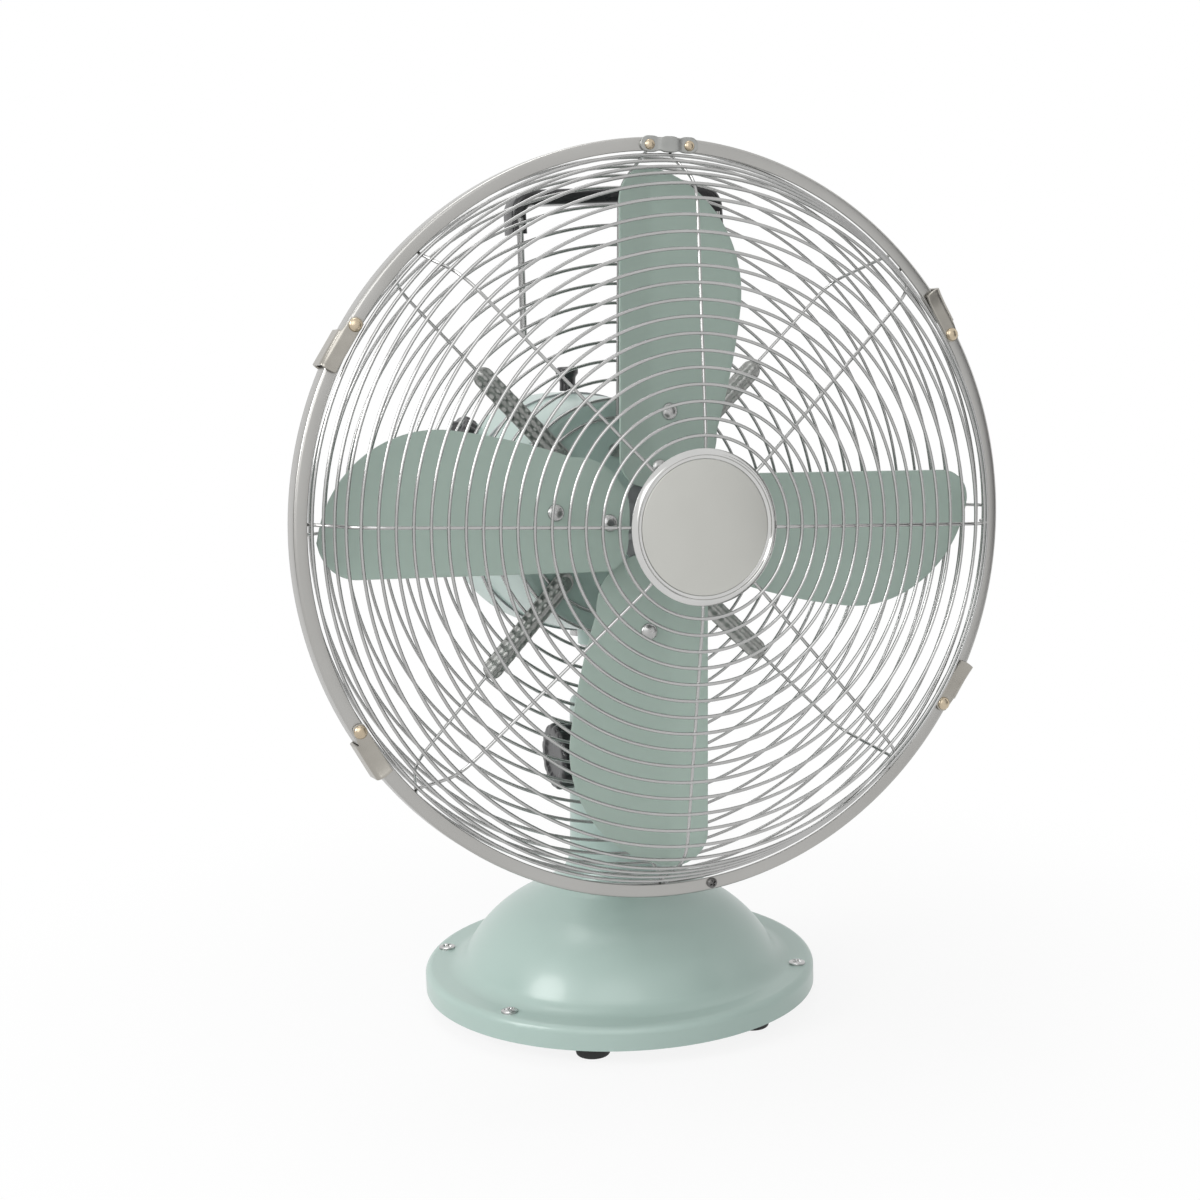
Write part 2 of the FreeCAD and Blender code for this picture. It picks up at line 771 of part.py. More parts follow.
def make_housing():
    shell = turned("housing_wall", [
        ("cover_radius", cover_rim),
        ("housing_radius", "housing_back"),
        ("housing_radius - housing_wall", "housing_back"),
        ("cover_radius - housing_wall", cover_rim),
    ])
    boss = rod("swivel_boss", "swivel_boss_radius", "swivel_boss_drop - swivel_boss_top",
               (0, 0, "-swivel_boss_drop"))
    bore = rod("swivel_bore", "swivel_pin_radius + running_fit", "swivel_boss_drop - swivel_boss_top",
               (0, 0, "-swivel_boss_drop"))
    seat = rod("stator_seat", "stator_radius", "stator_front + stator_back", (0, "-stator_front", 0),
               (0, 1, 0))
    ribs = []
    for angle in strap_angles:
        rib = box(f"stator_rib_{angle}", ("-stator_front / 3", "-stator_front", "stator_radius - 1"),
                  ("stator_front / 3", "stator_back", "cover_radius - housing_wall / 4"))
        rib.Placement = spin(angle).multiply(rib.Placement)
        ribs.append(rib)
    solid = joined("housing_solid", [shell, boss] + ribs)
    tools = joined("housing_bores", [bore, seat])
    return node("motor_housing", cut("motor_housing", solid, tools), head_frame)


def make_rear_bracket():
    bracket = turned("rear_bracket", [
        ("bearing_radius", f"{bracket_back} - bearing_length"),
        ("bearing_radius + cover_thickness", f"{bracket_back} - bearing_length"),
        ("bearing_radius + cover_thickness", "housing_back"),
        ("shell_radius", "housing_back"),
        ("shell_radius", bracket_back),
        ("bearing_radius", bracket_back),
    ])
    return node("rear_bracket", bracket, head_frame)


def make_bearings():
    bushes = []
    front = "(-motor_front - bearing_proud)"
    rear = f"({bracket_back} - bearing_length)"
    for name, start in (("front", front), ("rear", rear)):
        bushes.append(turned("bearing_" + name, [
            ("shaft_radius + running_fit", start),
            ("bearing_radius", start),
            ("bearing_radius", f"{start} + bearing_length"),
            ("shaft_radius + running_fit", f"{start} + bearing_length"),
        ]))
    return group("shaft_bearings", bushes, head_frame)


def make_stator():
    core = turned("stator_core", [
        ("stator_bore", "-stator_front"),
        ("stator_radius", "-stator_front"),
        ("stator_radius", "stator_back"),
        ("stator_bore", "stator_back"),
    ])
    node("stator_core", core, head_frame)
    coils = []
    for name, start in (("front", "-stator_front - coil_length"), ("back", "stator_back")):
        coils.append(turned("coil_" + name, [
            ("stator_bore + 2", start),
            ("stator_radius - 2", start),
            ("stator_radius - 2", f"{start} + coil_length"),
            ("stator_bore + 2", f"{start} + coil_length"),
        ]))
    group("stator_coils", coils, head_frame)


switch_direction = ("-cos(switch_angle)", "0", "sin(switch_angle)")


def switch_point(reach):
    return f"-{reach} * cos(switch_angle)", "switch_back", f"{reach} * sin(switch_angle)"


def switch_rod(name, radius, start, end):
    along = [size(v) for v in switch_direction]
    return rod(name, radius, f"({end}) - ({start})", switch_point(f"({start})"), along)


def make_rear_shell():
    shell = turned("rear_shell_wall", [
        ("shell_radius", bracket_back),
        ("shell_radius", "shell_back - shell_round"),
        ("shell_radius - shell_round", "shell_back", "shell_round"),
        ("0", "shell_back"),
        ("0", "shell_back - housing_wall"),
        ("shell_radius - shell_round", "shell_back - housing_wall"),
        ("shell_radius - housing_wall", "shell_back - shell_round", "-(shell_round - housing_wall)"),
        ("shell_radius - housing_wall", bracket_back),
    ])
    vent = cut_through(shell, "XZ_Plane", "vent", [
        ("-vent_width / 2", "vent_inner"),
        ("vent_width / 2", "vent_inner"),
        ("vent_width / 2", "vent_outer"),
        ("-vent_width / 2", "vent_outer"),
    ])
    repeat_round(shell, vent, "Y_Axis", "vent_count")
    bush = rod("crank_bush", "crank_spindle_radius * 2", "crank_drop - clearance - case_bottom - clearance",
               ("wheel_offset", "crank_back", "clearance - crank_drop"))
    boss = switch_rod("switch_boss", "speed_knob_radius + 1", "switch_boss_reach - switch_boss_depth",
                      "switch_boss_reach")
    solid = joined("rear_shell_solid", [shell, bush, boss])
    bores = [
        rod("crank_bore", "crank_spindle_radius + running_fit", "crank_drop - case_bottom",
            ("wheel_offset", "crank_back", "-crank_drop")),
        rod("pull_bore", "pull_rod_radius + clearance", "shell_round",
            ("wheel_offset", "wheel_back", "shell_radius - shell_round")),
        rod("rear_screw_bore", "screw_radius", "housing_wall * 2",
            (0, "shell_back - housing_wall * 2", 0), (0, 1, 0)),
        switch_rod("switch_bore", "switch_stem_radius + running_fit",
                   "switch_boss_reach - switch_boss_depth * 2", "switch_boss_reach + 1"),
    ]
    return node("rear_shell", cut("rear_shell", solid, joined("rear_shell_bores", bores)), head_frame)


def make_gearbox_case():
    outer = box("case_outer", ("-case_left", bracket_back, "-case_bottom"),
                ("case_right", "case_back", "case_top"))
    inner = box("case_inner", ("case_wall - case_left", bracket_back, "case_wall - case_bottom"),
                ("case_right - case_wall", "case_back - case_wall", "case_top - case_wall"))
    post = rod("case_post", "screw_radius * 2", "shell_back - housing_wall - case_back", (0, "case_back", 0),
               (0, 1, 0))
    bores = [
        inner,
        rod("case_top_bore", "spindle_radius + running_fit", "case_wall * 2",
            ("wheel_offset", "wheel_back", "case_top - case_wall * 2")),
        rod("case_spindle_bore", "worm_bore + running_fit", "case_wall * 2",
            ("wheel_offset", "wheel_back", "-case_bottom")),
        rod("case_crank_bore", "crank_spindle_radius + running_fit", "case_wall * 2",
            ("wheel_offset", "crank_back", "-case_bottom")),
        rod("case_screw_bore", "screw_radius", "shell_back - case_back", (0, "case_back", 0), (0, 1, 0)),
    ]
    case = cut("gearbox_case", joined("case_solid", [outer, post]), joined("case_bores", bores))
    return node("gearbox_case", case, head_frame)


def make_rear_screw():
    shank = rod("rear_shank", "screw_radius", "shell_back - case_back", (0, "case_back", 0), (0, 1, 0))
    head = rod("rear_head", "screw_head", "screw_radius", (0, "shell_back", 0), (0, 1, 0))
    return node("rear_screw", joined("rear_screw", [shank, head]), head_frame)


# ---- oscillation gearing ----


def make_worm_wheel():
    """The worm wheel, its hollow spindle and the small pinion at the spindle's foot, in one moulding."""
    pinion_top = "(gear_width - crank_gear_drop)"
    wheel = turned("worm_wheel", [
        ("0", "clearance - case_bottom"),
        ("worm_bore", "clearance - case_bottom"),
        ("worm_bore", "-crank_gear_drop"),
        ("pinion_radius", "-crank_gear_drop"),
        ("pinion_radius", pinion_top),
        ("spindle_radius", pinion_top),
        ("spindle_radius", "-wheel_height / 2"),
        ("wheel_radius", "-wheel_height / 2"),
        ("wheel_radius", "wheel_height / 2"),
        ("spindle_radius", "wheel_height / 2"),
        ("spindle_radius", "spindle_top"),
        ("pull_rod_radius + running_fit", "spindle_top"),
        ("pull_rod_radius + running_fit", "-wheel_height / 2"),
        ("0", "-wheel_height / 2"),
    ], plane="XZ_Plane")
    at = Placement(Vector(size("wheel_offset"), size("wheel_back"), 0), Rotation())
    return node("worm_wheel", wheel, head_frame.multiply(at))


def make_crank():
    centre = Vector(size("wheel_offset"), size("crank_back"), 0)
    crank_frame = head_frame.multiply(Placement(centre, Rotation()))
    gear = turned("crank_gear", [
        ("0", "-crank_drop"),
        ("crank_spindle_radius", "-crank_drop"),
        ("crank_spindle_radius", "-crank_gear_drop"),
        ("crank_gear_radius", "-crank_gear_drop"),
        ("crank_gear_radius", "gear_width - crank_gear_drop"),
        ("0", "gear_width - crank_gear_drop"),
    ], plane="XZ_Plane")
    node("crank_gear", gear, crank_frame)
    arm_bottom = "(-crank_drop - crank_thickness)"
    disc = rod("crank_plate", "crank_radius", "crank_thickness", (0, 0, arm_bottom))
    pin_length = f"({arm_bottom} + link_drop - link_thickness - clearance)"
    pin_foot = f"{arm_bottom} - {pin_length}"
    pin = rod("crank_pin", "link_stud_radius", pin_length, ("crank_throw", 0, pin_foot))
    node("crank_disc", joined("crank_disc", [disc, pin]), crank_frame)


def make_pull():
    at = head_frame.multiply(Placement(Vector(size("wheel_offset"), size("wheel_back"), 0), Rotation()))
    foot = "(shell_radius + clearance)"
    pull_rod = rod("pull_rod", "pull_rod_radius", f"{foot} + pull_knob_height / 2", (0, 0, 0))
    node("pull_rod", pull_rod, at)
    waist = "(pull_knob_radius * 0.6)"
    knob = turned("pull_knob", [
        ("pull_rod_radius", foot),
        (waist, foot),
        (waist, f"{foot} + pull_knob_height * 0.6"),
        ("pull_knob_radius", f"{foot} + pull_knob_height * 0.75", "-4"),
        ("pull_knob_radius", f"{foot} + pull_knob_height - 1.5"),
        ("pull_knob_radius - 1.5", f"{foot} + pull_knob_height", "1.5"),
        ("0", f"{foot} + pull_knob_height"),
        ("0", f"{foot} + pull_knob_height / 2"),
        ("pull_rod_radius", f"{foot} + pull_knob_height / 2"),
    ], plane="XZ_Plane")
    node("pull_knob", knob, at)


# ---- speed switch ----


def make_speed_switch():
    body = switch_rod("speed_switch", "speed_knob_radius - 2", "switch_boss_reach - switch_boss_depth * 3",
                      "switch_boss_reach - switch_boss_depth")
    return node("speed_switch", body, head_frame)


def make_speed_knob():
    knob = make_knob("speed_grip", "speed_knob_radius", "speed_knob_length", "switch_stem_radius",
                     "speed_knob_length / 2")
    x, y, z = [size(v) for v in switch_point("(switch_boss_reach + clearance)")]
    along = Vector(*[size(v) for v in switch_direction])
    knob.Placement = Placement(Vector(x, y, z), Rotation(Vector(0, 1, 0), along))
    stem = switch_rod("switch_stem", "switch_stem_radius",
                      "switch_boss_reach - switch_boss_depth + clearance",
                      "switch_boss_reach + clearance + speed_knob_length / 2")
    return node("speed_knob", joined("speed_knob_and_stem", [knob, stem]), head_frame)


# ---- rotor ----


def make_shaft():
    shaft = turned("motor_shaft", [
        ("0", "-shaft_front"),
        ("shaft_radius", "-shaft_front"),
        ("shaft_radius", worm_start),
        ("worm_bore", worm_start),
        ("worm_bore", f"{worm_start} + worm_length"),
        ("0", f"{worm_start} + worm_length"),
    ])
    return node("motor_shaft", shaft, head_frame)


worm_start = "(wheel_back - worm_length / 2)"


def make_sleeve(name, inner, outer, start, length):
    """A plain sleeve about the shaft."""
    sleeve = turned(name, [
        (inner, start),
        (outer, start),
        (outer, f"{start} + {length}"),
        (inner, f"{start} + {length}"),
    ])
    return node(name, sleeve, head_frame)


def make_rotor_core():
    length = "stator_front + stator_back"
    return make_sleeve("rotor_core", "shaft_radius", "stator_bore - air_gap", "-stator_front", length)


def blade_surface(offset):
    """The three corners of the folded sheet across a blade, moved forwards by an offset."""
    edge = "(blade_straight_edge + 1)"
    slope = "(straight_edge_rise - crease_rise) / (blade_straight_edge - blade_crease)"
    return [
        (f"-{edge}", f"-(blade_plane + straight_edge_rise + {slope} + {offset})"),
        ("-blade_crease", f"-(blade_plane + crease_rise + {offset})"),
        ("blade_bulge + 1", f"-(blade_plane - bulge_edge_drop + {offset})"),
    ]


def folded_sheet(name, back, front):
    """A sheet folded along the crease, much longer than the blade, between two offsets."""
    profile = blade_surface(front) + blade_surface(back)[::-1]
    return padded(name, "XY_Plane", "blade_tip + 5", profile)


def turned_copy(name, thing, turns):
    """The same piece again, turned about the shaft."""
    copy = doc.addObject("Part::Compound", name)
    copy.Links = [thing]
    copy.Placement = spin(turns)
    doc.recompute()
    return copy


blade_fall = "((crease_rise + bulge_edge_drop) / (blade_bulge + 1 + blade_crease))"


def sheet_depth(x):
    """How far ahead of the swivel axis the front of a blade lies, beside the crease."""
    return f"(blade_plane + crease_rise + blade_thickness / 2 - {blade_fall} * (({x}) + blade_crease))"


def blade_angles():
    """The blades' angles clockwise from the top, seen from the front."""
    count = int(size("blade_count"))
    return [size("rotor_turn") + 360 * index / count for index in range(count)]


def rivet_rods(name, radius, above, below):
    """Rods square to the blade at the top, through its two rivet points, from above its face to below it."""
    rods = []
    slope = size(blade_fall)
    for i, (x, z) in enumerate(blade_rivets):
        lift = size(above) / math.hypot(slope, 1)
        at = (size(x) + slope * lift, -size(sheet_depth(x)) - lift, z)
        rods.append(rod(f"{name}_{i}", radius, f"({above}) + ({below})", at, (-slope, 1, 0)))
    return rods


def common(name, base, tool):
    result = doc.addObject("Part::Common", name)
    result.Base = base
    result.Tool = tool
    doc.recompute()
    return result


blade_rivets = [("0", "inner_rivet"), ("blade_crease", "outer_rivet")]


def make_blades():
    side = "blade_straight_edge"
    plan = padded("blade_plan", "XZ_Plane", "blade_plane * 4", [
        (f"-{side}", "blade_root + 9"),
        ("-blade_crease * 2.4", "blade_root - 1", "14"),
        ("blade_root * 0.6", "blade_root - 3", "60"),
        ("blade_bulge * 0.7", "blade_root * 2.3", "25"),
        ("blade_bulge", "blade_bulge_height", "300"),
        ("-blade_crease", "blade_tip", "55"),
        (f"-{side}", "blade_tip - blade_root * 0.85", "16"),
    ], symmetric=True)
    blank = common("blade_blank", plan, folded_sheet("blade_sheet", "-blade_thickness / 2",
                                                     "blade_thickness / 2"))
    drill = joined("blade_drill", rivet_rods("blade_hole", "rivet_radius / 2", "5", "5"))
    blade = cut("blade_cut", blank, drill)
    for index, angle in enumerate(blade_angles()):
        node(f"blade_{index + 1}", turned_copy(f"blade_{index + 1}", blade, angle), head_frame)


def make_spider():
    """The carrier: a disc and hub on the shaft, with an arm behind each blade that follows its fold."""
    back = "(spider_depth - spider_thickness)"
    hub = turned("spider_hub", [
        ("shaft_radius", "-spider_depth"),
        ("spider_radius", "-spider_depth"),
        ("spider_radius", f"-{back}"),
        ("hub_radius", f"-{back}"),
        ("hub_radius", f"hub_length - {back}"),
        ("shaft_radius", f"hub_length - {back}"),
    ])
    plan = padded("arm_plan", "XZ_Plane", "blade_plane * 4", [
        ("-spider_arm_width / 2", "hub_radius"),
        ("spider_arm_width / 2", "hub_radius"),
        ("spider_arm_width / 2 + blade_crease / 2", "spider_arm_reach - spider_arm_width / 2"),
        ("blade_crease / 2 - spider_arm_width / 2", "spider_arm_reach - spider_arm_width / 2",
         "spider_arm_width / 2 * 1.0001"),
    ], symmetric=True)
    arm = common("arm_blank", plan, folded_sheet("arm_sheet", "-blade_thickness / 2 - arm_thickness",
                                                 "-blade_thickness / 2"))
    drill = joined("arm_drill", rivet_rods("arm_hole", "rivet_radius / 2", "5", "5"))
    arms = []
    drills = [rod("spider_shaft_bore", "shaft_radius", "shaft_front * 2", (0, "-shaft_front", 0), (0, 1, 0))]
    for index, angle in enumerate(blade_angles()):
        arms.append(turned_copy(f"spider_arm_{index + 1}", arm, angle))
        drills.append(turned_copy(f"spider_drill_{index + 1}", drill, angle))
    spider = cut("blade_spider", joined("spider_solid", [hub] + arms), joined("spider_bores", drills))
    return node("blade_spider", spider, head_frame)


def make_rivets():
    """Two domed rivets through each blade and its arm."""
    shanks = rivet_rods("rivet_shank", "rivet_radius / 2", "0", "blade_thickness + arm_thickness")
    heads = rivet_rods("rivet_head", "rivet_radius", "rivet_radius / 3", "0")
    rivets = []
    for index, angle in enumerate(blade_angles()):
        for number, (shank, head) in enumerate(zip(shanks, heads)):
            name = f"blade_rivet_{index}_{number}"
            rivets.append(turned_copy(name, joined(name + "_whole", [shank, head]), angle))
    return group("blade_rivets", rivets, head_frame)


def make_hub_front():
    make_sleeve("hub_washer", "shaft_radius", "hub_radius", "-spider_depth - 2", "2")
    nut = padded("hub_nut", "XZ_Plane", "shaft_radius * 1.5", [
        (f"hub_radius * 0.75 * cos({60 * i})", f"hub_radius * 0.75 * sin({60 * i})") for i in range(6)
    ], circles=[("0", "0", "shaft_radius")])
    seat = Placement(Vector(0, -size("spider_depth + 2"), 0), Rotation())
    return node("hub_nut", nut, head_frame.multiply(seat))


# ---- wire cage ----


def wire_path(first, first_depth, dish, shoulder, bend, wall_angle, wall_end, last):
    """The middle of a wire from the hub to the hoop, as points (radius, depth ahead of the swivel axis): a
    sloping line, a bend and a wall. dish and wall_angle are positive where the depth grows outwards."""
    sign = 1 if dish > 0 else -1
    start, stop = math.radians(abs(dish)), math.radians(wall_angle)
    points = [(first, first_depth)]
    corner = first_depth + sign * (shoulder - first) * math.tan(start)
    steps = 4
    for step in range(steps + 1):
        turn = start + (stop - start) * step / steps
        points.append((shoulder + bend * (math.sin(turn) - math.sin(start)),
                       corner + sign * bend * (math.cos(start) - math.cos(turn))))
    radius, depth = points[-1]
    points.append((wall_end, depth + sign * (wall_end - radius) * math.tan(stop)))
    points.append(last)
    return points


def shifted(points, offset):
    """The same path moved sideways, to its left for a positive offset."""
    moved = []
    for i, (radius, depth) in enumerate(points):
        before = points[max(i - 1, 0)]
        after = points[min(i + 1, len(points) - 1)]
        first = Vector(radius - before[0], depth - before[1], 0)
        second = Vector(after[0] - radius, after[1] - depth, 0)
        first = first.normalize() if first.Length else second.normalize()
        second = second.normalize() if second.Length else first
        middle = (first + second).normalize()
        stretch = offset / max(middle.dot(first), 0.5)
        moved.append((radius - middle.y * stretch, depth + middle.x * stretch))
    return moved


def along_path(points, step, count):
    """Points at equal steps along a path, from its start."""
    found = []
    for i in range(count):
        left = i * step
        for start, end in zip(points, points[1:]):
            length = math.dist(start, end)
            if left <= length:
                share = left / length
                found.append((start[0] + (end[0] - start[0]) * share, start[1] + (end[1] - start[1]) * share))
                break
            left -= length
    return found


def path_length(points):
    return sum(math.dist(start, end) for start, end in zip(points, points[1:]))


def spoke(points, angle, inner):
    """A wire that follows a path, at an angle clockwise from the top."""
    half = size("wire") / 2
    line = [(inner, points[0][1])] + list(points)
    sides = shifted(line, half) + shifted(line, -half)[::-1]
    corners = [Vector(-half, -depth, radius) for radius, depth in sides]
    face = Part.Face(Part.makePolygon(corners + corners[:1]))
    wire = face.extrude(Vector(2 * half, 0, 0))
    wire.Placement = spin(angle)
    return wire


def ring(radius, depth, facets, turn):
    """A hoop of wire with a three-sided section, flat towards the back, from flat faces."""
    half = size("wire") / 2
    section = [(radius - half, depth - half), (radius + half, depth - half), (radius, depth + half)]
    loops = []
    for i in range(facets):
        angle = math.radians(turn + 360 * i / facets)
        loops.append([Vector(r * math.sin(angle), -d, r * math.cos(angle)) for r, d in section])
    faces = []
    for i in range(facets):
        here, there = loops[i], loops[(i + 1) % facets]
        for a in range(3):
            b = (a + 1) % 3
            corners = [here[a], here[b], there[b], there[a], here[a]]
            faces.append(Part.Face(Part.makePolygon(corners)))
    solid = Part.Solid(Part.Shell(faces))
    if solid.Volume < 0:
        solid.reverse()
    return solid


def wire_cage(name, path, turn, ring_count, inner, spoke_side):
    """Spokes and hoops welded into one piece. spoke_side is +1 where the spokes lie ahead of the hoops."""
    facets = int(size("ring_facets"))
    hoops = along_path(path, path_length(path) / ring_count, ring_count) + [path[-1]]
    pieces = [ring(radius, depth, facets, turn) for radius, depth in hoops]
    step = 360 / size("spoke_count")
    for i in range(int(size("spoke_count"))):
        pieces.append(spoke(shifted(path, spoke_side * 0.6 * size("wire")), turn + i * step, inner))
    whole = pieces[0].multiFuse(pieces[1:])
    return feature(name, whole, head_frame)


def front_path():
    hoop = (size("band_radius - band_wall - wire / 2"), size("band_front - band_wall - wire / 2"))
    return wire_path(size("front_ring_first"), size("front_hub_depth"), -size("front_dish"),
                     size("front_shoulder"), size("front_shoulder_round"), size("front_wall_angle"),
                     size("band_radius - band_face - wire / 2"), hoop)


def rear_path():
    hoop = (size("band_radius - band_wall - wire / 2"), size("band_front - band_wall - wire * 2.1"))
    return wire_path(size("rear_ring_first"), size("motor_front + wire / 2"), size("rear_dish"),
                     size("rear_shoulder"), size("rear_shoulder_round"), size("rear_wall_angle"),
                     size("band_radius - band_wall - wire"), hoop)


def make_cages():
    wire_cage("front_grille", front_path(), size("front_turn"), int(size("front_ring_count")),
              size("badge_plate_radius / 2"), -1)
    wire_cage("rear_grille", rear_path(), size("rear_turn"), int(size("rear_ring_count")),
              size("rear_inner"), 1)


def make_band():
    band = turned("band_channel", [
        ("band_radius - band_face", "-band_front"),
        ("band_radius - 1", "-band_front"),
        ("band_radius", "1 - band_front", "1"),
        ("band_radius", "band_depth - band_front"),
        ("band_radius - band_wall", "band_depth - band_front"),
        ("band_radius - band_wall", "band_wall - band_front"),
        ("band_radius - band_face", "band_wall - band_front"),
    ])
    holes = [rod(f"band_hole_{i}", "screw_radius", "band_wall", clock(band_hole_circle, angle, "-band_front"),
                 (0, 1, 0)) for i, angle in enumerate(clip_angles + bracket_angles + [bottom_angle])]
    return node("cage_band", cut("cage_band", band, joined("band_holes", holes)), head_frame)


band_hole_circle = "(band_radius - band_face / 2 - 0.4)"
clip_angles = [-55.4, -117.8, 62.8, 125.5]
bracket_angles = [0.4, 6.9]
bottom_angle = 175.8


def make_badge():
    spoke_middle = "(front_hub_depth - 0.6 * wire * cos(front_dish))"
    seat = f"-({spoke_middle} + wire / 2)"
    front = "-badge_depth"
    rim = turned("badge_rim", [
        ("badge_plate_radius", seat),
        ("badge_radius", seat),
        ("badge_radius", f"{front} + 0.5"),
        ("badge_radius - 1.5", f"{front} - 0.6", "2"),
        ("badge_plate_radius", f"{front} - 0.2"),
    ])
    node("badge_rim", rim, head_frame)
    plate = turned("badge_plate", [
        ("0", seat),
        ("badge_plate_radius", seat),
        ("badge_plate_radius", front),
        ("0", front),
    ])
    node("badge_plate", plate, head_frame)
    back = f"-({spoke_middle} - wire / 2)"
    clamp = turned("badge_clamp", [
        ("0", seat),
        ("screw_radius * 2", seat),
        ("screw_radius * 2", back),
        ("badge_plate_radius * 0.8", back),
        ("badge_plate_radius * 0.8", f"{back} + strap_sheet"),
        ("0", f"{back} + strap_sheet"),
    ])
    node("badge_clamp", clamp, head_frame)


strap_crown = "(wire * 1.1 + 0.1 + strap_sheet)"


def make_straps():
    """Ribbed strips over the diagonal wires, which clamp the rear cage to the motor."""
    low = "wire / 2 + 0.05"
    rib = "(wire / 2 + 1.2)"
    straps = []
    half = "strap_width / 2"
    for angle in strap_angles:
        bar = padded(f"strap_bar_{angle}", "XY_Plane", "strap_outer - strap_inner", [
            (f"-{half}", f"-({low})"),
            (f"-{half}", f"-({low} + strap_sheet)"),
            (f"-{rib} - 0.6", f"-({low} + strap_sheet)"),
            (f"-{rib}", f"-{strap_crown}"),
            (rib, f"-{strap_crown}"),
            (f"{rib} + 0.6", f"-({low} + strap_sheet)"),
            (half, f"-({low} + strap_sheet)"),
            (half, f"-({low})"),
            ("wire / 2 + 0.1", f"-({low})"),
            ("wire / 2 + 0.1", "-(wire * 1.1 + 0.1)"),
            ("-wire / 2 - 0.1", "-(wire * 1.1 + 0.1)"),
            ("-wire / 2 - 0.1", f"-({low})"),
        ])
        start_depth = "motor_front + wire / 2 + (strap_inner - rear_ring_first) * tan(rear_dish)"
        lie = Placement(Vector(0, -size(start_depth), size("strap_inner")),
                        Rotation(Vector(1, 0, 0), size("rear_dish")))
        bar.Placement = spin(angle + size("rear_turn")).multiply(lie)
        at = clock("strap_screw_circle", f"{angle} + rear_turn", "-motor_front * 2")
        hole = rod(f"strap_hole_{angle}", "screw_radius", "motor_front * 2", at, (0, 1, 0))
        straps.append(cut(f"strap_{angle}", bar, hole))
    return group("cage_straps", straps, head_frame)


def make_strap_screws():
    screws = []
    for angle in strap_angles:
        at = clock("strap_screw_circle", f"{angle} + rear_turn", "0")
        slope = "(strap_screw_circle + screw_head - rear_ring_first) * tan(rear_dish)"
        top = f"-(motor_front + wire / 2 + {slope} + {strap_crown})"
        shank = f"cover_thickness + wire + {strap_crown}"
        screws.append(make_screw(f"strap_screw_{angle}", at, top, shank))
    return group("strap_screws", screws, head_frame)


def make_clips():
    flange_in = "(band_radius - " + band_hole_circle + " + clearance)"
    front = "-(clearance + clip_sheet)"
    behind = "(band_depth + clearance)"
    for index, angle in enumerate(clip_angles, start=1):
        name = f"clip_{index}"
        boss = rod(name + "_eye", "clip_width / 2", "clip_sheet", (0, "-clearance", 0), (0, -1, 0))
        plate = box(name + "_plate", ("0", front, "-clip_width / 2"),
                    ("clip_length", "-clearance", "clip_width / 2"))
        flange = box(name + "_flange", ("clip_width / 2", front, "clip_width / 2 - clip_sheet"),
                     ("clip_length", f"{behind} + clip_sheet", flange_in + " + clip_sheet"))
        flange_gap = box(name + "_gap", ("clip_width / 2", "-clearance", "0"),
                         ("clip_length", behind, flange_in))
        lip = box(name + "_lip", ("clip_width / 2", behind, "0"),
                  ("clip_length", f"{behind} + clip_sheet", flange_in + " + clip_sheet"))
        hole = rod(name + "_hole", "screw_radius + running_fit", "clip_sheet * 3", (0, "-clip_sheet * 2", 0),
                   (0, 1, 0))
        trimmed = cut(name + "_trimmed", flange, flange_gap)
        whole = joined(name + "_solid", [boss, plate, trimmed, lip])
        clip = cut(name + "_cut", whole, hole)
        # the tail points anticlockwise from the rivet
        clip.Placement = Placement(Vector(0, -size("band_front"), size(band_hole_circle)),
                                   Rotation(Vector(0, 0, 1), Vector(0, 0, 1)))
        mirrored = doc.addObject("Part::Mirroring", name + "_hand")
        mirrored.Source = clip
        mirrored.Normal = Vector(1, 0, 0)
        doc.recompute()
        node(name, turned_copy(name, mirrored, angle), head_frame)


def make_band_rivets():
    """The pivots of the four clips and the two rivets of the bracket at the top."""
    rivets = []
    for index, angle in enumerate(clip_angles):
        at = clock(band_hole_circle, angle, "0")
        depth = "-(band_front + clearance + clip_sheet + clearance)"
        shank = "band_wall + clip_sheet + clearance * 2"
        rivets.append(make_screw(f"clip_rivet_{index}", at, depth, shank))
    for index, angle in enumerate(bracket_angles):
        at = clock(band_hole_circle, angle, "0")
        rivets.append(make_screw(f"bracket_rivet_{index}", at, "-(band_front + clip_sheet)",
                                 "clip_sheet + band_wall"))
    return group("band_rivets", rivets, head_frame)


def make_top_bracket():
    plate = box("bracket_plate",
                ("-bracket_half_width", "-band_front - clip_sheet", f"{band_hole_circle} - clip_width / 2"),
                ("bracket_half_width", "-band_front", f"{band_hole_circle} + clip_width / 2"))
    plate.Placement = spin(sum(bracket_angles) / 2).multiply(plate.Placement)
    holes = []
    for index, angle in enumerate(bracket_angles):
        at = clock(band_hole_circle, angle, "-band_front - clip_sheet")
        holes.append(rod(f"bracket_hole_{index}", "screw_radius", "clip_sheet", at, (0, 1, 0)))
    return node("top_bracket", cut("top_bracket", plate, joined("bracket_holes", holes)), head_frame)


def make_bottom_screw():
    at = clock(band_hole_circle, bottom_angle, "0")
    return node("band_screw", make_screw("band_screw", at, "-band_front", "band_wall"), head_frame)


# ---- handle ----


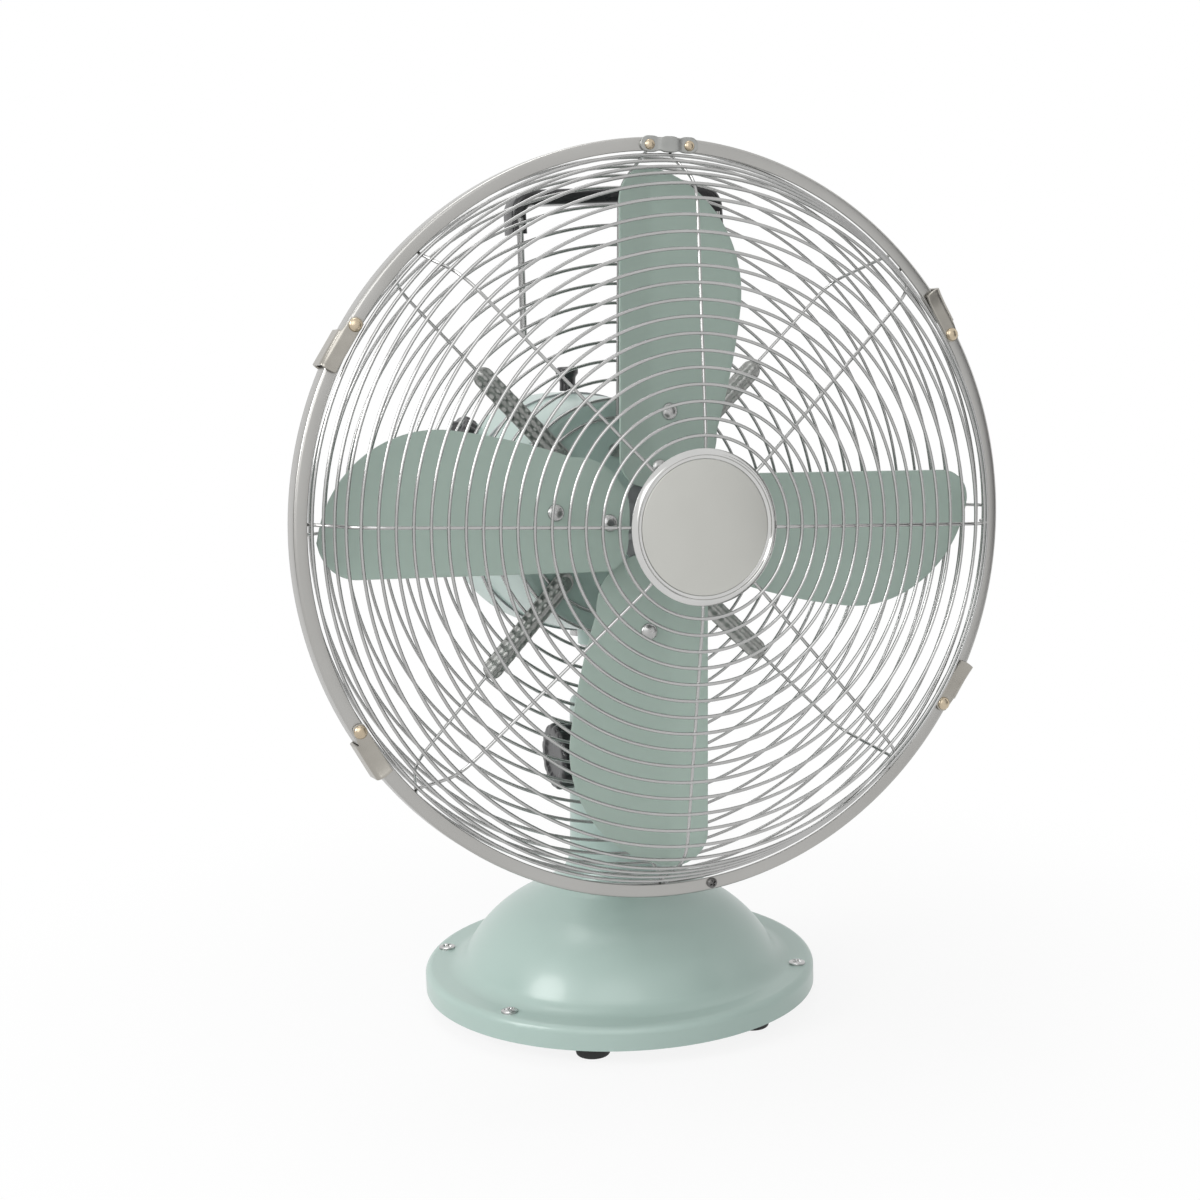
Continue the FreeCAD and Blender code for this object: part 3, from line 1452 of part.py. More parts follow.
def make_handle():
    grip_y = "(-handle_front)"
    outer = "handle_half_width"
    inner = "(handle_half_width - grip_thickness)"
    under = "(handle_top - grip_thickness)"
    grip = padded("grip_bar", "XZ_Plane", "handle_depth", [
        (outer, "handle_leg"),
        (outer, "handle_leg + grip_thickness"),
        ("handle_half_width * 0.68", "handle_top", "grip_round"),
        ("-handle_half_width * 0.68", "handle_top"),
        (f"-{outer}", "handle_leg + grip_thickness", "grip_round"),
        (f"-{outer}", "handle_leg"),
        (f"-{inner}", "handle_leg"),
        (f"-{inner}", "handle_leg + grip_thickness"),
        ("-handle_half_width * 0.6", under, "-grip_round * 0.75"),
        ("handle_half_width * 0.6", under),
        (inner, "handle_leg + grip_thickness", "-grip_round * 0.75"),
        (inner, "handle_leg"),
    ], back=True)
    grip.Placement.Base = Vector(size("handle_shift"), size(grip_y), 0)
    struts = []
    for side in (-1, 1):
        x = f"handle_shift + {side} * (handle_half_width - grip_thickness / 2)"
        low_depth = "(motor_front - wire / 2 - strut_radius + handle_foot * tan(rear_dish) * 0.58)"
        high = "handle_leg + grip_thickness"
        length = f"({high} - handle_foot) / cos(rear_dish)"
        at = (x, f"-{low_depth}", "handle_foot")
        lean = (0, -math.sin(math.radians(size("rear_dish"))), math.cos(math.radians(size("rear_dish"))))
        struts.append(rod(f"handle_strut_{side + 1}", "strut_radius", length, at, lean))
    bores = doc.addObject("Part::Compound", "strut_bores")
    bores.Links = struts
    node("handle_grip", cut("handle_grip_solid", grip, bores), head_frame)
    return group("handle_struts", struts, head_frame)


# ---- build, check and write ----

make_base_shell()
make_base_plate()
make_flange_screws()
make_feet()
make_base_weight()
make_cord_gland()
make_tilt_bolt()
make_tilt_washers()
make_tilt_knob()
make_tilt_knuckle()
make_swivel_pin()
make_swivel_washer()
make_swivel_clip()
make_crank_link()
make_front_cover()
make_cover_screws()
make_housing()
make_rear_bracket()
make_bearings()
make_stator()
make_rear_shell()
make_gearbox_case()
make_rear_screw()
make_worm_wheel()
make_crank()
make_pull()
make_speed_switch()
make_speed_knob()
make_shaft()
make_sleeve("worm", "worm_bore", "worm_radius", worm_start, "worm_length")
make_rotor_core()
make_blades()
make_spider()
make_rivets()
make_hub_front()
make_cages()
make_band()
make_badge()
make_straps()
make_strap_screws()
make_clips()
make_band_rivets()
make_top_bracket()
make_bottom_screw()
make_handle()

doc.recompute()
for thing in doc.Objects:
    assert not {"Invalid", "Error"} & set(thing.State), thing.Name
os.makedirs("parts", exist_ok=True)
for thing in nodes:
    assert not thing.Shape.isNull() and thing.Shape.isValid(), thing.Label
    thing.Shape.exportStep(f"parts/{thing.Label}.step")
    print(f"{thing.Label:20s} {len(thing.Shape.Solids):3d} solids {thing.Shape.Volume:12.1f} mm3")
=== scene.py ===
import json
import math
import bmesh
import bpy
import numpy as np
from mathutils import Matrix, Vector


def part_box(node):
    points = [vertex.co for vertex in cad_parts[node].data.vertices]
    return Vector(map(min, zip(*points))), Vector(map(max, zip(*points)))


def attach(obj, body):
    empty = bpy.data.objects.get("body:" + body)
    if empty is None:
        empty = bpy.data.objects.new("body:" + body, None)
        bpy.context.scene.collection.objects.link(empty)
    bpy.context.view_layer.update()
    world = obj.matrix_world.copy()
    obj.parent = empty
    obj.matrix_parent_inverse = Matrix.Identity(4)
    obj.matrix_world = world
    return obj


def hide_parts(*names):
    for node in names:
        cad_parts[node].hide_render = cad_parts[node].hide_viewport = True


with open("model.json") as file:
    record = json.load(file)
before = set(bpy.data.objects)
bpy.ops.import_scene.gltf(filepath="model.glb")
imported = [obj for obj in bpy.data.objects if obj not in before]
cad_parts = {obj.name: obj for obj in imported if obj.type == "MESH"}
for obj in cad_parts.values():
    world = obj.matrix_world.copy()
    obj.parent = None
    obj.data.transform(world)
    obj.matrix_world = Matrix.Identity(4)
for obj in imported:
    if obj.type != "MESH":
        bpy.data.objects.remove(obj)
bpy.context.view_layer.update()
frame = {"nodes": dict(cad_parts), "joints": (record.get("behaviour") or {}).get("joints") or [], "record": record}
joints = {j["name"]: j for j in frame["joints"]}
print("frame loaded:", len(frame["nodes"]), "nodes")

# axes of the head at rest: right, back along the shaft, up along the swivel pin; shapes are in mm

headCentre = np.array(joints["fan_spin"]["pos_m"])
headAxes = np.array([[1, 0, 0], joints["fan_spin"]["axis"], joints["swivel"]["axis"]], float)
columnY = joints["tilt"]["pos_m"][1] * 1000


def headToRow(points):  # mm in the head's axes to metres in the row frame
    return headCentre + np.asarray(points, float) @ headAxes / 1000


def rowMm(points):  # mm in the row frame to metres
    return np.asarray(points, float) / 1000


def turnAboutShaft(points, degrees):  # clockwise as seen from the front
    a = np.radians(degrees)
    turn = np.array([[np.cos(a), 0, -np.sin(a)], [0, 1, 0], [np.sin(a), 0, np.cos(a)]])
    return np.asarray(points, float) @ turn


# meshes from grids

def gridFaces(rows, columns, closeRows, closeColumns, start=0):
    # one quad for each cell of a rows x columns grid, wrapped where a side is closed
    i = np.arange(rows if closeRows else rows - 1)[:, None]
    j = np.arange(columns if closeColumns else columns - 1)[None, :]
    i2, j2 = (i + 1) % rows, (j + 1) % columns
    quads = np.stack([i * columns + j, i * columns + j2, i2 * columns + j2, i2 * columns + j], -1)
    return quads.reshape(-1, 4) + start


def meshPiece(name, points, faces, material, body, replaced):
    # points (n, 3) in metres, faces a list of index lists, replaced the nodes that it stands for
    mesh = bpy.data.meshes.new(name)
    mesh.from_pydata(np.asarray(points, float).tolist(), [], [list(map(int, f)) for f in faces])
    mesh.validate()
    mesh.polygons.foreach_set("use_smooth", [True] * len(mesh.polygons))
    piece = bpy.data.objects.new(name, mesh)
    bpy.context.scene.collection.objects.link(piece)
    mesh.materials.append(material)
    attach(piece, body)
    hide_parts(*replaced)
    return piece


def joinGrids(grids, closeRows, closeColumns, caps=False):
    # several grids as one list of points and faces, with a face over each open end where asked
    points, faces, start = [], [], 0
    for grid in grids:
        rows, columns = grid.shape[:2]
        points.append(grid.reshape(-1, 3))
        faces += gridFaces(rows, columns, closeRows, closeColumns, start).tolist()
        if caps:
            ring = np.arange(columns)
            faces += [(start + ring[::-1]).tolist(), (start + (rows - 1) * columns + ring).tolist()]
        start += rows * columns
    return np.concatenate(points), faces


def closePiece(piece, degrees=35):
    # weld the poles, turn the faces outwards and keep an edge where two of them meet at more than the angle
    work = bmesh.new()
    work.from_mesh(piece.data)
    bmesh.ops.remove_doubles(work, verts=work.verts, dist=1e-6)
    bmesh.ops.recalc_face_normals(work, faces=work.faces)
    work.to_mesh(piece.data)
    work.free()
    piece.data.set_sharp_from_angle(angle=math.radians(degrees))
    return piece


def thicken(piece, thickness):
    # a wall in mm, half to each side
    wall = piece.modifiers.new("sheet", "SOLIDIFY")
    wall.thickness = thickness / 1000
    wall.offset = 0


def roundEdges(piece, width):
    # round the sharp edges by a width in mm
    edge = piece.modifiers.new("edge", "BEVEL")
    edge.width = width / 1000
    edge.segments = 2
    edge.limit_method = "ANGLE"
    edge.angle_limit = math.radians(50)


def lathe(profile, turns=128, flutes=0, fluteDepth=0.0):
    # a half section (radius, along) carried round the local Y axis: grid (turns, n, 3)
    # with flutes, radius times 1 - depth * ((1 + cos(flutes * angle)) / 2)^2
    angle = np.linspace(0, 2 * np.pi, turns, endpoint=False)[:, None]
    r, y = np.asarray(profile, float).T
    r = r * (1 - fluteDepth * ((1 + np.cos(flutes * angle)) / 2) ** 2 * (flutes > 0))
    return np.stack([r * np.sin(angle), y + 0 * angle, r * np.cos(angle)], -1)


def standAlong(points, centre, axis):
    # local Y along the axis, from the centre: centre + x * side + y * axis + z * (side x axis)
    y = np.asarray(axis, float) / np.linalg.norm(axis)
    side = np.cross(y, (0, 0, 1)) if abs(y[2]) < 0.9 else np.cross(y, (1, 0, 0))
    x = side / np.linalg.norm(side)
    across = points[..., :1] * x + points[..., 2:] * np.cross(x, y)
    return np.asarray(centre, float) + across + points[..., 1:2] * y


def roundedPath(corners, steps=6):
    # an open path from corners (x, y, radius); the first and last stay sharp
    parts = [np.array([corners[0][:2]], float)]
    for before, corner, after in zip(corners, corners[1:], corners[2:]):
        if corner[2] > 0:
            parts.append(roundCorner(before[:2], corner[:2], after[:2], corner[2], steps))
        else:
            parts.append(np.array([corner[:2]], float))
    return np.concatenate(parts + [np.array([corners[-1][:2]], float)])


def roundCorner(before, corner, after, radius, steps=6):
    # the arc that rounds a corner of an outline
    p, c, q = (np.asarray(v, float) for v in (before, corner, after))
    u, v = (p - c) / np.linalg.norm(p - c), (q - c) / np.linalg.norm(q - c)
    half = math.acos(np.clip(u @ v, -1, 1)) / 2
    reach = min(radius / math.tan(half), 0.45 * np.linalg.norm(p - c), 0.45 * np.linalg.norm(q - c))
    r = reach * math.tan(half)
    centre = c + (u + v) / np.linalg.norm(u + v) * r / math.sin(half)
    start, end = c + u * reach - centre, c + v * reach - centre
    sweep = math.acos(np.clip(start @ end / r**2, -1, 1))
    k = np.linspace(0, 1, steps)[:, None]
    return centre + (np.sin((1 - k) * sweep) * start + np.sin(k * sweep) * end) / math.sin(sweep)


def roundedLoop(corners, steps=6):
    # a closed outline from corners (x, y, radius)
    parts = []
    n = len(corners)
    for i, (x, y, radius) in enumerate(corners):
        if radius <= 0:
            parts.append(np.array([[x, y]], float))
        else:
            parts.append(roundCorner(corners[i - 1][:2], (x, y), corners[(i + 1) % n][:2], radius, steps))
    return np.concatenate(parts)


# materials

def newMaterial(name):
    material = bpy.data.materials.new(name)
    material.use_nodes = True
    nodes = material.node_tree.nodes
    return material, nodes, material.node_tree.links, nodes["Principled BSDF"]


def noise(nodes, links, scale, detail=3.0, stretch=(1, 1, 1)):
    # noise on the piece's own coordinates, in metres
    place = nodes.new("ShaderNodeTexCoord")
    mapping = nodes.new("ShaderNodeMapping")
    mapping.inputs["Scale"].default_value = stretch
    texture = nodes.new("ShaderNodeTexNoise")
    texture.inputs["Scale"].default_value = scale
    texture.inputs["Detail"].default_value = detail
    links.new(place.outputs["Object"], mapping.inputs["Vector"])
    links.new(mapping.outputs["Vector"], texture.inputs["Vector"])
    return texture.outputs["Fac"]


def spread(nodes, links, value, low, high):
    ramp = nodes.new("ShaderNodeMapRange")
    ramp.inputs["To Min"].default_value = low
    ramp.inputs["To Max"].default_value = high
    links.new(value, ramp.inputs["Value"])
    return ramp.outputs["Result"]


def twoTone(nodes, links, value, dark, light):
    mix = nodes.new("ShaderNodeMix")
    mix.data_type = "RGBA"
    mix.inputs["A"].default_value = (*dark, 1)
    mix.inputs["B"].default_value = (*light, 1)
    links.new(value, mix.inputs["Factor"])
    return mix.outputs["Result"]


def bump(nodes, links, value, strength, distance):
    node = nodes.new("ShaderNodeBump")
    node.inputs["Strength"].default_value = strength
    node.inputs["Distance"].default_value = distance
    links.new(value, node.inputs["Height"])
    return node.outputs["Normal"]


def surfaceMaterial(name, dark, light, metal, roughness, grain, bumpScale, bumpDepth, coat=0.0,
                    stretch=(1, 1, 1)):
    # colour and roughness wander slowly with one noise, and a finer one lifts the surface
    material, nodes, links, shader = newMaterial(name)
    slow = noise(nodes, links, grain, 4.0, stretch)
    fine = noise(nodes, links, bumpScale, 2.0, stretch)
    links.new(twoTone(nodes, links, slow, dark, light), shader.inputs["Base Color"])
    links.new(spread(nodes, links, slow, *roughness), shader.inputs["Roughness"])
    links.new(bump(nodes, links, fine, 0.25, bumpDepth), shader.inputs["Normal"])
    shader.inputs["Metallic"].default_value = metal
    shader.inputs["Coat Weight"].default_value = coat
    shader.inputs["Coat Roughness"].default_value = 0.12
    return material


# colour, metal, roughness from and to, noises per metre and the height of the fine one in metres
finishes = {
    "mintPaint": {"dark": (0.385, 0.500, 0.460), "light": (0.412, 0.530, 0.488), "metal": 0.0,
                  "roughness": (0.30, 0.38), "grain": 14, "bumpScale": 900, "bumpDepth": 0.00006,
                  "coat": 0.2},
    "bladePaint": {"dark": (0.385, 0.486, 0.432), "light": (0.410, 0.512, 0.456), "metal": 0.0,
                   "roughness": (0.36, 0.44), "grain": 18, "bumpScale": 1100, "bumpDepth": 0.00005,
                   "coat": 0.1},
    "chromeWire": {"dark": (0.38, 0.38, 0.375), "light": (0.50, 0.50, 0.495), "metal": 1.0,
                   "roughness": (0.10, 0.16), "grain": 60, "bumpScale": 700, "bumpDepth": 0.00003},
    "satinBand": {"dark": (0.35, 0.345, 0.33), "light": (0.50, 0.495, 0.48), "metal": 1.0,
                  "roughness": (0.24, 0.36), "grain": 14, "bumpScale": 1500, "bumpDepth": 0.00003,
                  "stretch": (1, 0.2, 1)},
    "badgeSteel": {"dark": (0.50, 0.50, 0.47), "light": (0.56, 0.56, 0.53), "metal": 1.0,
                   "roughness": (0.30, 0.38), "grain": 30, "bumpScale": 1600, "bumpDepth": 0.00002},
    "badgeChrome": {"dark": (0.50, 0.50, 0.49), "light": (0.66, 0.66, 0.65), "metal": 1.0,
                    "roughness": (0.10, 0.16), "grain": 40, "bumpScale": 700, "bumpDepth": 0.00002},
    "clipNickel": {"dark": (0.30, 0.285, 0.255), "light": (0.46, 0.44, 0.40), "metal": 1.0,
                   "roughness": (0.22, 0.36), "grain": 90, "bumpScale": 900, "bumpDepth": 0.00006},
    "wornBrass": {"dark": (0.42, 0.34, 0.24), "light": (0.62, 0.53, 0.40), "metal": 1.0,
                  "roughness": (0.20, 0.36), "grain": 140, "bumpScale": 900, "bumpDepth": 0.00006},
    "glossBlack": {"dark": (0.012, 0.012, 0.013), "light": (0.020, 0.020, 0.022), "metal": 0.0,
                   "roughness": (0.22, 0.34), "grain": 40, "bumpScale": 600, "bumpDepth": 0.00006,
                   "coat": 0.1},
    "mattRubber": {"dark": (0.018, 0.018, 0.018), "light": (0.034, 0.034, 0.034), "metal": 0.0,
                   "roughness": (0.62, 0.80), "grain": 80, "bumpScale": 900, "bumpDepth": 0.0001},
    "darkSteel": {"dark": (0.10, 0.10, 0.10), "light": (0.20, 0.195, 0.19), "metal": 1.0,
                  "roughness": (0.24, 0.36), "grain": 120, "bumpScale": 900, "bumpDepth": 0.00005},
    "strapSteel": {"dark": (0.30, 0.305, 0.295), "light": (0.44, 0.445, 0.43), "metal": 1.0,
                   "roughness": (0.26, 0.40), "grain": 120, "bumpScale": 900, "bumpDepth": 0.00005},
    "zincSteel": {"dark": (0.42, 0.42, 0.42), "light": (0.58, 0.58, 0.57), "metal": 1.0,
                  "roughness": (0.20, 0.34), "grain": 120, "bumpScale": 900, "bumpDepth": 0.00005},
    "plateSteel": {"dark": (0.34, 0.35, 0.36), "light": (0.46, 0.47, 0.48), "metal": 1.0,
                   "roughness": (0.34, 0.50), "grain": 40, "bumpScale": 700, "bumpDepth": 0.00008},
    "castIron": {"dark": (0.05, 0.05, 0.052), "light": (0.09, 0.09, 0.092), "metal": 0.4,
                 "roughness": (0.60, 0.80), "grain": 60, "bumpScale": 300, "bumpDepth": 0.0004},
    "sheetStack": {"dark": (0.16, 0.165, 0.17), "light": (0.24, 0.245, 0.25), "metal": 0.9,
                   "roughness": (0.40, 0.55), "grain": 60, "bumpScale": 400, "bumpDepth": 0.0002,
                   "stretch": (1, 12, 1)},
    "coilTape": {"dark": (0.20, 0.075, 0.030), "light": (0.32, 0.13, 0.055), "metal": 0.0,
                 "roughness": (0.45, 0.62), "grain": 90, "bumpScale": 260, "bumpDepth": 0.0005},
    "palePlastic": {"dark": (0.66, 0.65, 0.61), "light": (0.74, 0.73, 0.69), "metal": 0.0,
                    "roughness": (0.38, 0.50), "grain": 50, "bumpScale": 700, "bumpDepth": 0.00006},
}
finish = {name: surfaceMaterial(name, **settings) for name, settings in finishes.items()}

slotFinishes = {
    "green_paint": "mintPaint", "chrome_wire": "chromeWire", "satin_band": "satinBand",
    "badge_metal": "badgeSteel", "clip_metal": "clipNickel", "brass": "wornBrass",
    "black_gloss": "glossBlack", "black_rubber": "mattRubber", "screw_steel": "zincSteel",
    "plate_steel": "plateSteel", "cast_iron": "castIron", "laminations": "sheetStack",
    "coil_tape": "coilTape", "white_plastic": "palePlastic",
}
nodeSlots = {p["node"]: p["material_slot"] for p in frame["record"]["subparts"]}
for nodeName, nodeObject in frame["nodes"].items():
    nodeObject.data.materials.clear()
    nodeObject.data.materials.append(finish[slotFinishes[nodeSlots[nodeName]]])
print("materials:", len(finish))

# wires of the cage

cageWires = {"thickness": 1.5, "hoopSteps": 160, "sides": 8, "bendSteps": 14, "spokes": 8, "lap": 0.6}
frontCage = {"first": 39, "firstDepth": 124, "dish": -7.2, "shoulder": 136, "bend": 20, "wallAngle": 64,
             "wallEnd": 161.25, "last": (166.05, 80.55), "hoops": 20, "turn": 4.3, "inner": 15,
             "spokeSide": -1}
rearCage = {"first": 46, "firstDepth": 25.25, "dish": 5, "shoulder": 141, "bend": 16, "wallAngle": 69,
            "wallEnd": 165.3, "last": (166.05, 78.15), "hoops": 17, "turn": 1.9, "inner": 45,
            "spokeSide": 1}


def wirePath(cage):
    # (radius, depth ahead of the swivel axis): a sloping line, a bend of even radius, a wall and the hoop
    first, depth, shoulder, bend = (cage[k] for k in ("first", "firstDepth", "shoulder", "bend"))
    sign = np.sign(cage["dish"])
    start, stop = math.radians(abs(cage["dish"])), math.radians(cage["wallAngle"])
    turn = np.linspace(start, stop, cageWires["bendSteps"])
    corner = depth + sign * (shoulder - first) * math.tan(start)
    arc = np.stack([shoulder + bend * (np.sin(turn) - math.sin(start)),
                    corner + sign * bend * (math.cos(start) - np.cos(turn))], -1)
    wall = [cage["wallEnd"], arc[-1, 1] + sign * (cage["wallEnd"] - arc[-1, 0]) * math.tan(stop)]
    return np.concatenate([[[first, depth]], arc, [wall], [cage["last"]]])


def alongPath(path, count):
    # count points at equal steps along the path, and its end
    length = np.concatenate([[0], np.cumsum(np.linalg.norm(np.diff(path, axis=0), axis=1))])
    at = np.linspace(0, length[-1], count + 1)
    return np.stack([np.interp(at, length, path[:, 0]), np.interp(at, length, path[:, 1])], -1)


def hoopGrid(hoops, radius):
    # a ring of wire for each (radius, depth): section circle carried round the shaft
    angle = np.linspace(0, 2 * np.pi, cageWires["hoopSteps"], endpoint=False)[None, :, None]
    around = np.linspace(0, 2 * np.pi, cageWires["sides"], endpoint=False)[None, None, :]
    r = hoops[:, 0, None, None] + radius * np.cos(around)
    d = hoops[:, 1, None, None] + radius * np.sin(around) + 0 * angle
    return np.stack([r * np.sin(angle), -d, r * np.cos(angle)], -1)


def spokeGrid(path, angles, radius):
    # a wire along a path in the plane of each angle: section circle square to the path
    step = np.gradient(path, axis=0)
    step /= np.linalg.norm(step, axis=1, keepdims=True)
    around = np.linspace(0, 2 * np.pi, cageWires["sides"], endpoint=False)[None, :]
    r = path[:, 0, None] - radius * np.cos(around) * step[:, 1, None]
    d = path[:, 1, None] + radius * np.cos(around) * step[:, 0, None]
    s = radius * np.sin(around) + 0 * r
    a = np.radians(angles)[:, None, None]
    return np.stack([r * np.sin(a) + s * np.cos(a), -d + 0 * a, r * np.cos(a) - s * np.sin(a)], -1)


def offsetPath(path, amount):
    step = np.gradient(path, axis=0)
    step /= np.linalg.norm(step, axis=1, keepdims=True)
    return path + amount * np.stack([-step[:, 1], step[:, 0]], -1)


def wireCage(name, cage, replaced):
    # hoops at equal steps along the path, and spokes that lie on them from the inner ring to the last hoop
    path, radius = wirePath(cage), cageWires["thickness"] / 2
    hoops = hoopGrid(alongPath(path, cage["hoops"]), radius)
    line = offsetPath(path, cage["spokeSide"] * cageWires["lap"] * cageWires["thickness"])
    line = np.concatenate([[[cage["inner"], line[0, 1]]], line])
    step = 360 / cageWires["spokes"]
    spokes = spokeGrid(line, cage["turn"] + np.arange(cageWires["spokes"]) * step, radius)
    hoopPoints, hoopFaces = joinGrids(hoops, True, True)
    spokePoints, spokeFaces = joinGrids(spokes, False, True, True)
    faces = hoopFaces + [[i + len(hoopPoints) for i in face] for face in spokeFaces]
    points = headToRow(np.concatenate([hoopPoints, spokePoints]))
    return meshPiece(name, points, faces, finish["chromeWire"], "fan_head", replaced)


wireCage("frontWires", frontCage, ["front_grille"])
wireCage("rearWires", rearCage, ["rear_grille"])
print("cage wires")

# blades

blade = {"turn": 3.3, "plane": 70.5, "edge": 21, "crease": -5, "creaseRise": 3.5, "edgeRise": 9, "bulge": 41.5,
         "bulgeHeight": 97, "bulgeDrop": 1, "tip": 156, "root": 17.5, "thickness": 1.0, "foldRound": 0.7,
         "foldShare": 0.35, "edgeBevel": 0.3, "rows": 72, "columns": 26}


def arcBetween(start, end, radius, steps=24):
    # an arc that turns left from start to end
    p, q = np.asarray(start, float), np.asarray(end, float)
    chord = q - p
    length = np.linalg.norm(chord)
    left = np.array([-chord[1], chord[0]]) / length
    centre = (p + q) / 2 + left * math.sqrt(radius**2 - (length / 2) ** 2)
    a = math.atan2(*(p - centre)[::-1])
    b = math.atan2(*(q - centre)[::-1])
    b += 2 * math.pi * (b < a)
    t = np.linspace(a, b, steps)
    return centre + radius * np.stack([np.cos(t), np.sin(t)], -1)


def bladeOutline():
    b = blade
    corners = [(-b["edge"], b["root"] + 9), (b["crease"] * 2.4, b["root"] - 1, 14),
               (b["root"] * 0.6, b["root"] - 3, 60), (b["bulge"] * 0.7, b["root"] * 2.3, 25),
               (b["bulge"], b["bulgeHeight"], 300), (b["crease"], b["tip"], 55),
               (-b["edge"], b["tip"] - b["root"] * 0.85, 16)]
    return [arcBetween(p[:2], q[:2], q[2]) for p, q in zip(corners, corners[1:])]


def bladeHeight(u):
    # how far ahead of the blade plane the sheet lies: two flats that meet in a rounded fold
    b = blade
    left = (b["edgeRise"] - b["creaseRise"]) / (b["edge"] + b["crease"])
    right = (b["creaseRise"] + b["bulgeDrop"]) / (b["bulge"] + 1 - b["crease"])
    x = u - b["crease"]
    soft = np.sqrt(x**2 + b["foldRound"] ** 2) - b["foldRound"]
    return b["creaseRise"] - (left + right) / 2 * x + (left - right) / 2 * soft


def makeBlade(index):
    # rows up the blade between its two sides, columns split at the fold, and the height from bladeHeight
    b = blade
    bottomLeft, bottom, root, right, top, tipLeft = bladeOutline()
    low = bottom[:, 1].min()
    rightSide = np.concatenate([bottom[np.argmin(bottom[:, 1]):], root, right, top])
    lowest = np.argmin(bottom[:, 1])
    leftSide = np.concatenate([bottom[:lowest + 1][::-1], bottomLeft[::-1], tipLeft[::-1]])
    peak = np.argmax(rightSide[:, 1])
    leftTop = rightSide[peak:][::-1]
    rightSide = rightSide[:peak + 1]
    leftSide = np.concatenate([leftSide, leftTop])
    leftSide = leftSide[np.argsort(leftSide[:, 1])]
    s = (1 - np.cos(np.linspace(0, np.pi, b["rows"]))) / 2
    v = low + (rightSide[-1, 1] - low) * s
    uLeft = np.interp(v, leftSide[:, 1], leftSide[:, 0])[:, None]
    uRight = np.interp(v, rightSide[:, 1], rightSide[:, 0])[:, None]
    fold = np.clip(b["crease"] + 0 * uLeft, uLeft, uRight)
    t = np.linspace(0, 1, b["columns"])[None, :]
    share = b["foldShare"]
    u = np.where(t < share, uLeft + (fold - uLeft) * t / share,
                 fold + (uRight - fold) * (t - share) / (1 - share))
    grid = np.stack([u, -(b["plane"] + bladeHeight(u)), v[:, None] + 0 * u], -1)
    points = turnAboutShaft(grid.reshape(-1, 3), b["turn"] + 90 * index)
    faces = gridFaces(b["rows"], b["columns"], False, False)
    name = f"bladeSheet{index + 1}"
    piece = meshPiece(name, headToRow(points), faces.tolist(), finish["bladePaint"], "rotor",
                      [f"blade_{index + 1}"])
    thicken(piece, b["thickness"])
    roundEdges(piece, b["edgeBevel"])


for bladeIndex in range(4):
    makeBlade(bladeIndex)
print("blades")

# band round the cage

band = {"radius": 168, "front": 82.5, "depth": 11, "face": 6, "wall": 1.2, "bead": 0.5}


def makeBand():
    # L section with rounded edges, carried round the shaft
    b = band
    outer, inner, back = b["radius"], b["radius"] - b["face"], b["depth"] - b["front"]
    front = -b["front"]
    section = roundedLoop([(inner, front, 0.4), (outer, front, 1.4), (outer, back, 0.5),
                           (outer - b["wall"], back, 0.5), (outer - b["wall"], front + b["wall"], 0.6),
                           (inner, front + b["wall"], 0.4)], 5)
    points, faces = joinGrids([lathe(section, 256)], True, True)
    closePiece(meshPiece("bandChannel", headToRow(points), faces, finish["satinBand"], "fan_head",
                         ["cage_band"]), 50)


makeBand()
print("band")

# badge: stepped chrome rim and a flat satin disc

badge = {"radius": 33.6, "plate": 29.4, "front": 125, "seat": 123.86, "lip": 0.6}


def makeBadge():
    b = badge
    front, seat = -b["front"], -b["seat"]
    rim = roundedLoop([(b["plate"] - 0.2, seat, 0.2), (b["radius"], seat, 0.4),
                       (b["radius"], front + 0.9, 0.9), (b["radius"] - 1.9, front - b["lip"], 1.0),
                       (b["plate"] + 1.5, front - b["lip"] + 0.1, 0.5), (b["plate"] + 1.2, front + 0.5, 0.3),
                       (b["plate"] - 0.2, front + 0.55, 0.2)], 6)
    points, faces = joinGrids([lathe(rim, 160)], True, True)
    closePiece(meshPiece("badgeRing", headToRow(points), faces, finish["badgeChrome"], "fan_head",
                         ["badge_rim"]), 60)
    disc = roundedPath([(0, seat, 0), (b["plate"] - 0.25, seat, 0.2),
                        (b["plate"] - 0.25, front + 0.35, 0.4), (0, front, 0)], 5)
    points, faces = joinGrids([lathe(disc, 128)], True, False)
    closePiece(meshPiece("badgeDisc", headToRow(points), faces, finish["badgeSteel"], "fan_head",
                         ["badge_plate"]), 50)


makeBadge()
print("badge")

# clips, rivets and the bracket on the band

clip = {"angles": (-55.4, -117.8, 62.8, 125.5), "circle": 164.6, "eye": 3.5, "length": 23, "sheet": 1.2,
        "gap": 0.3, "out": 4.3, "behind": 11.9, "lift": 1.6, "liftFrom": 0.55, "eyeShort": 0.6,
        "foldRound": 1.3, "backEdge": 1.4, "neck": 1.5, "tipShort": 0.8, "tipRound": 0.035,
        "edgeBevel": 0.25, "columns": 28, "rows": 22}


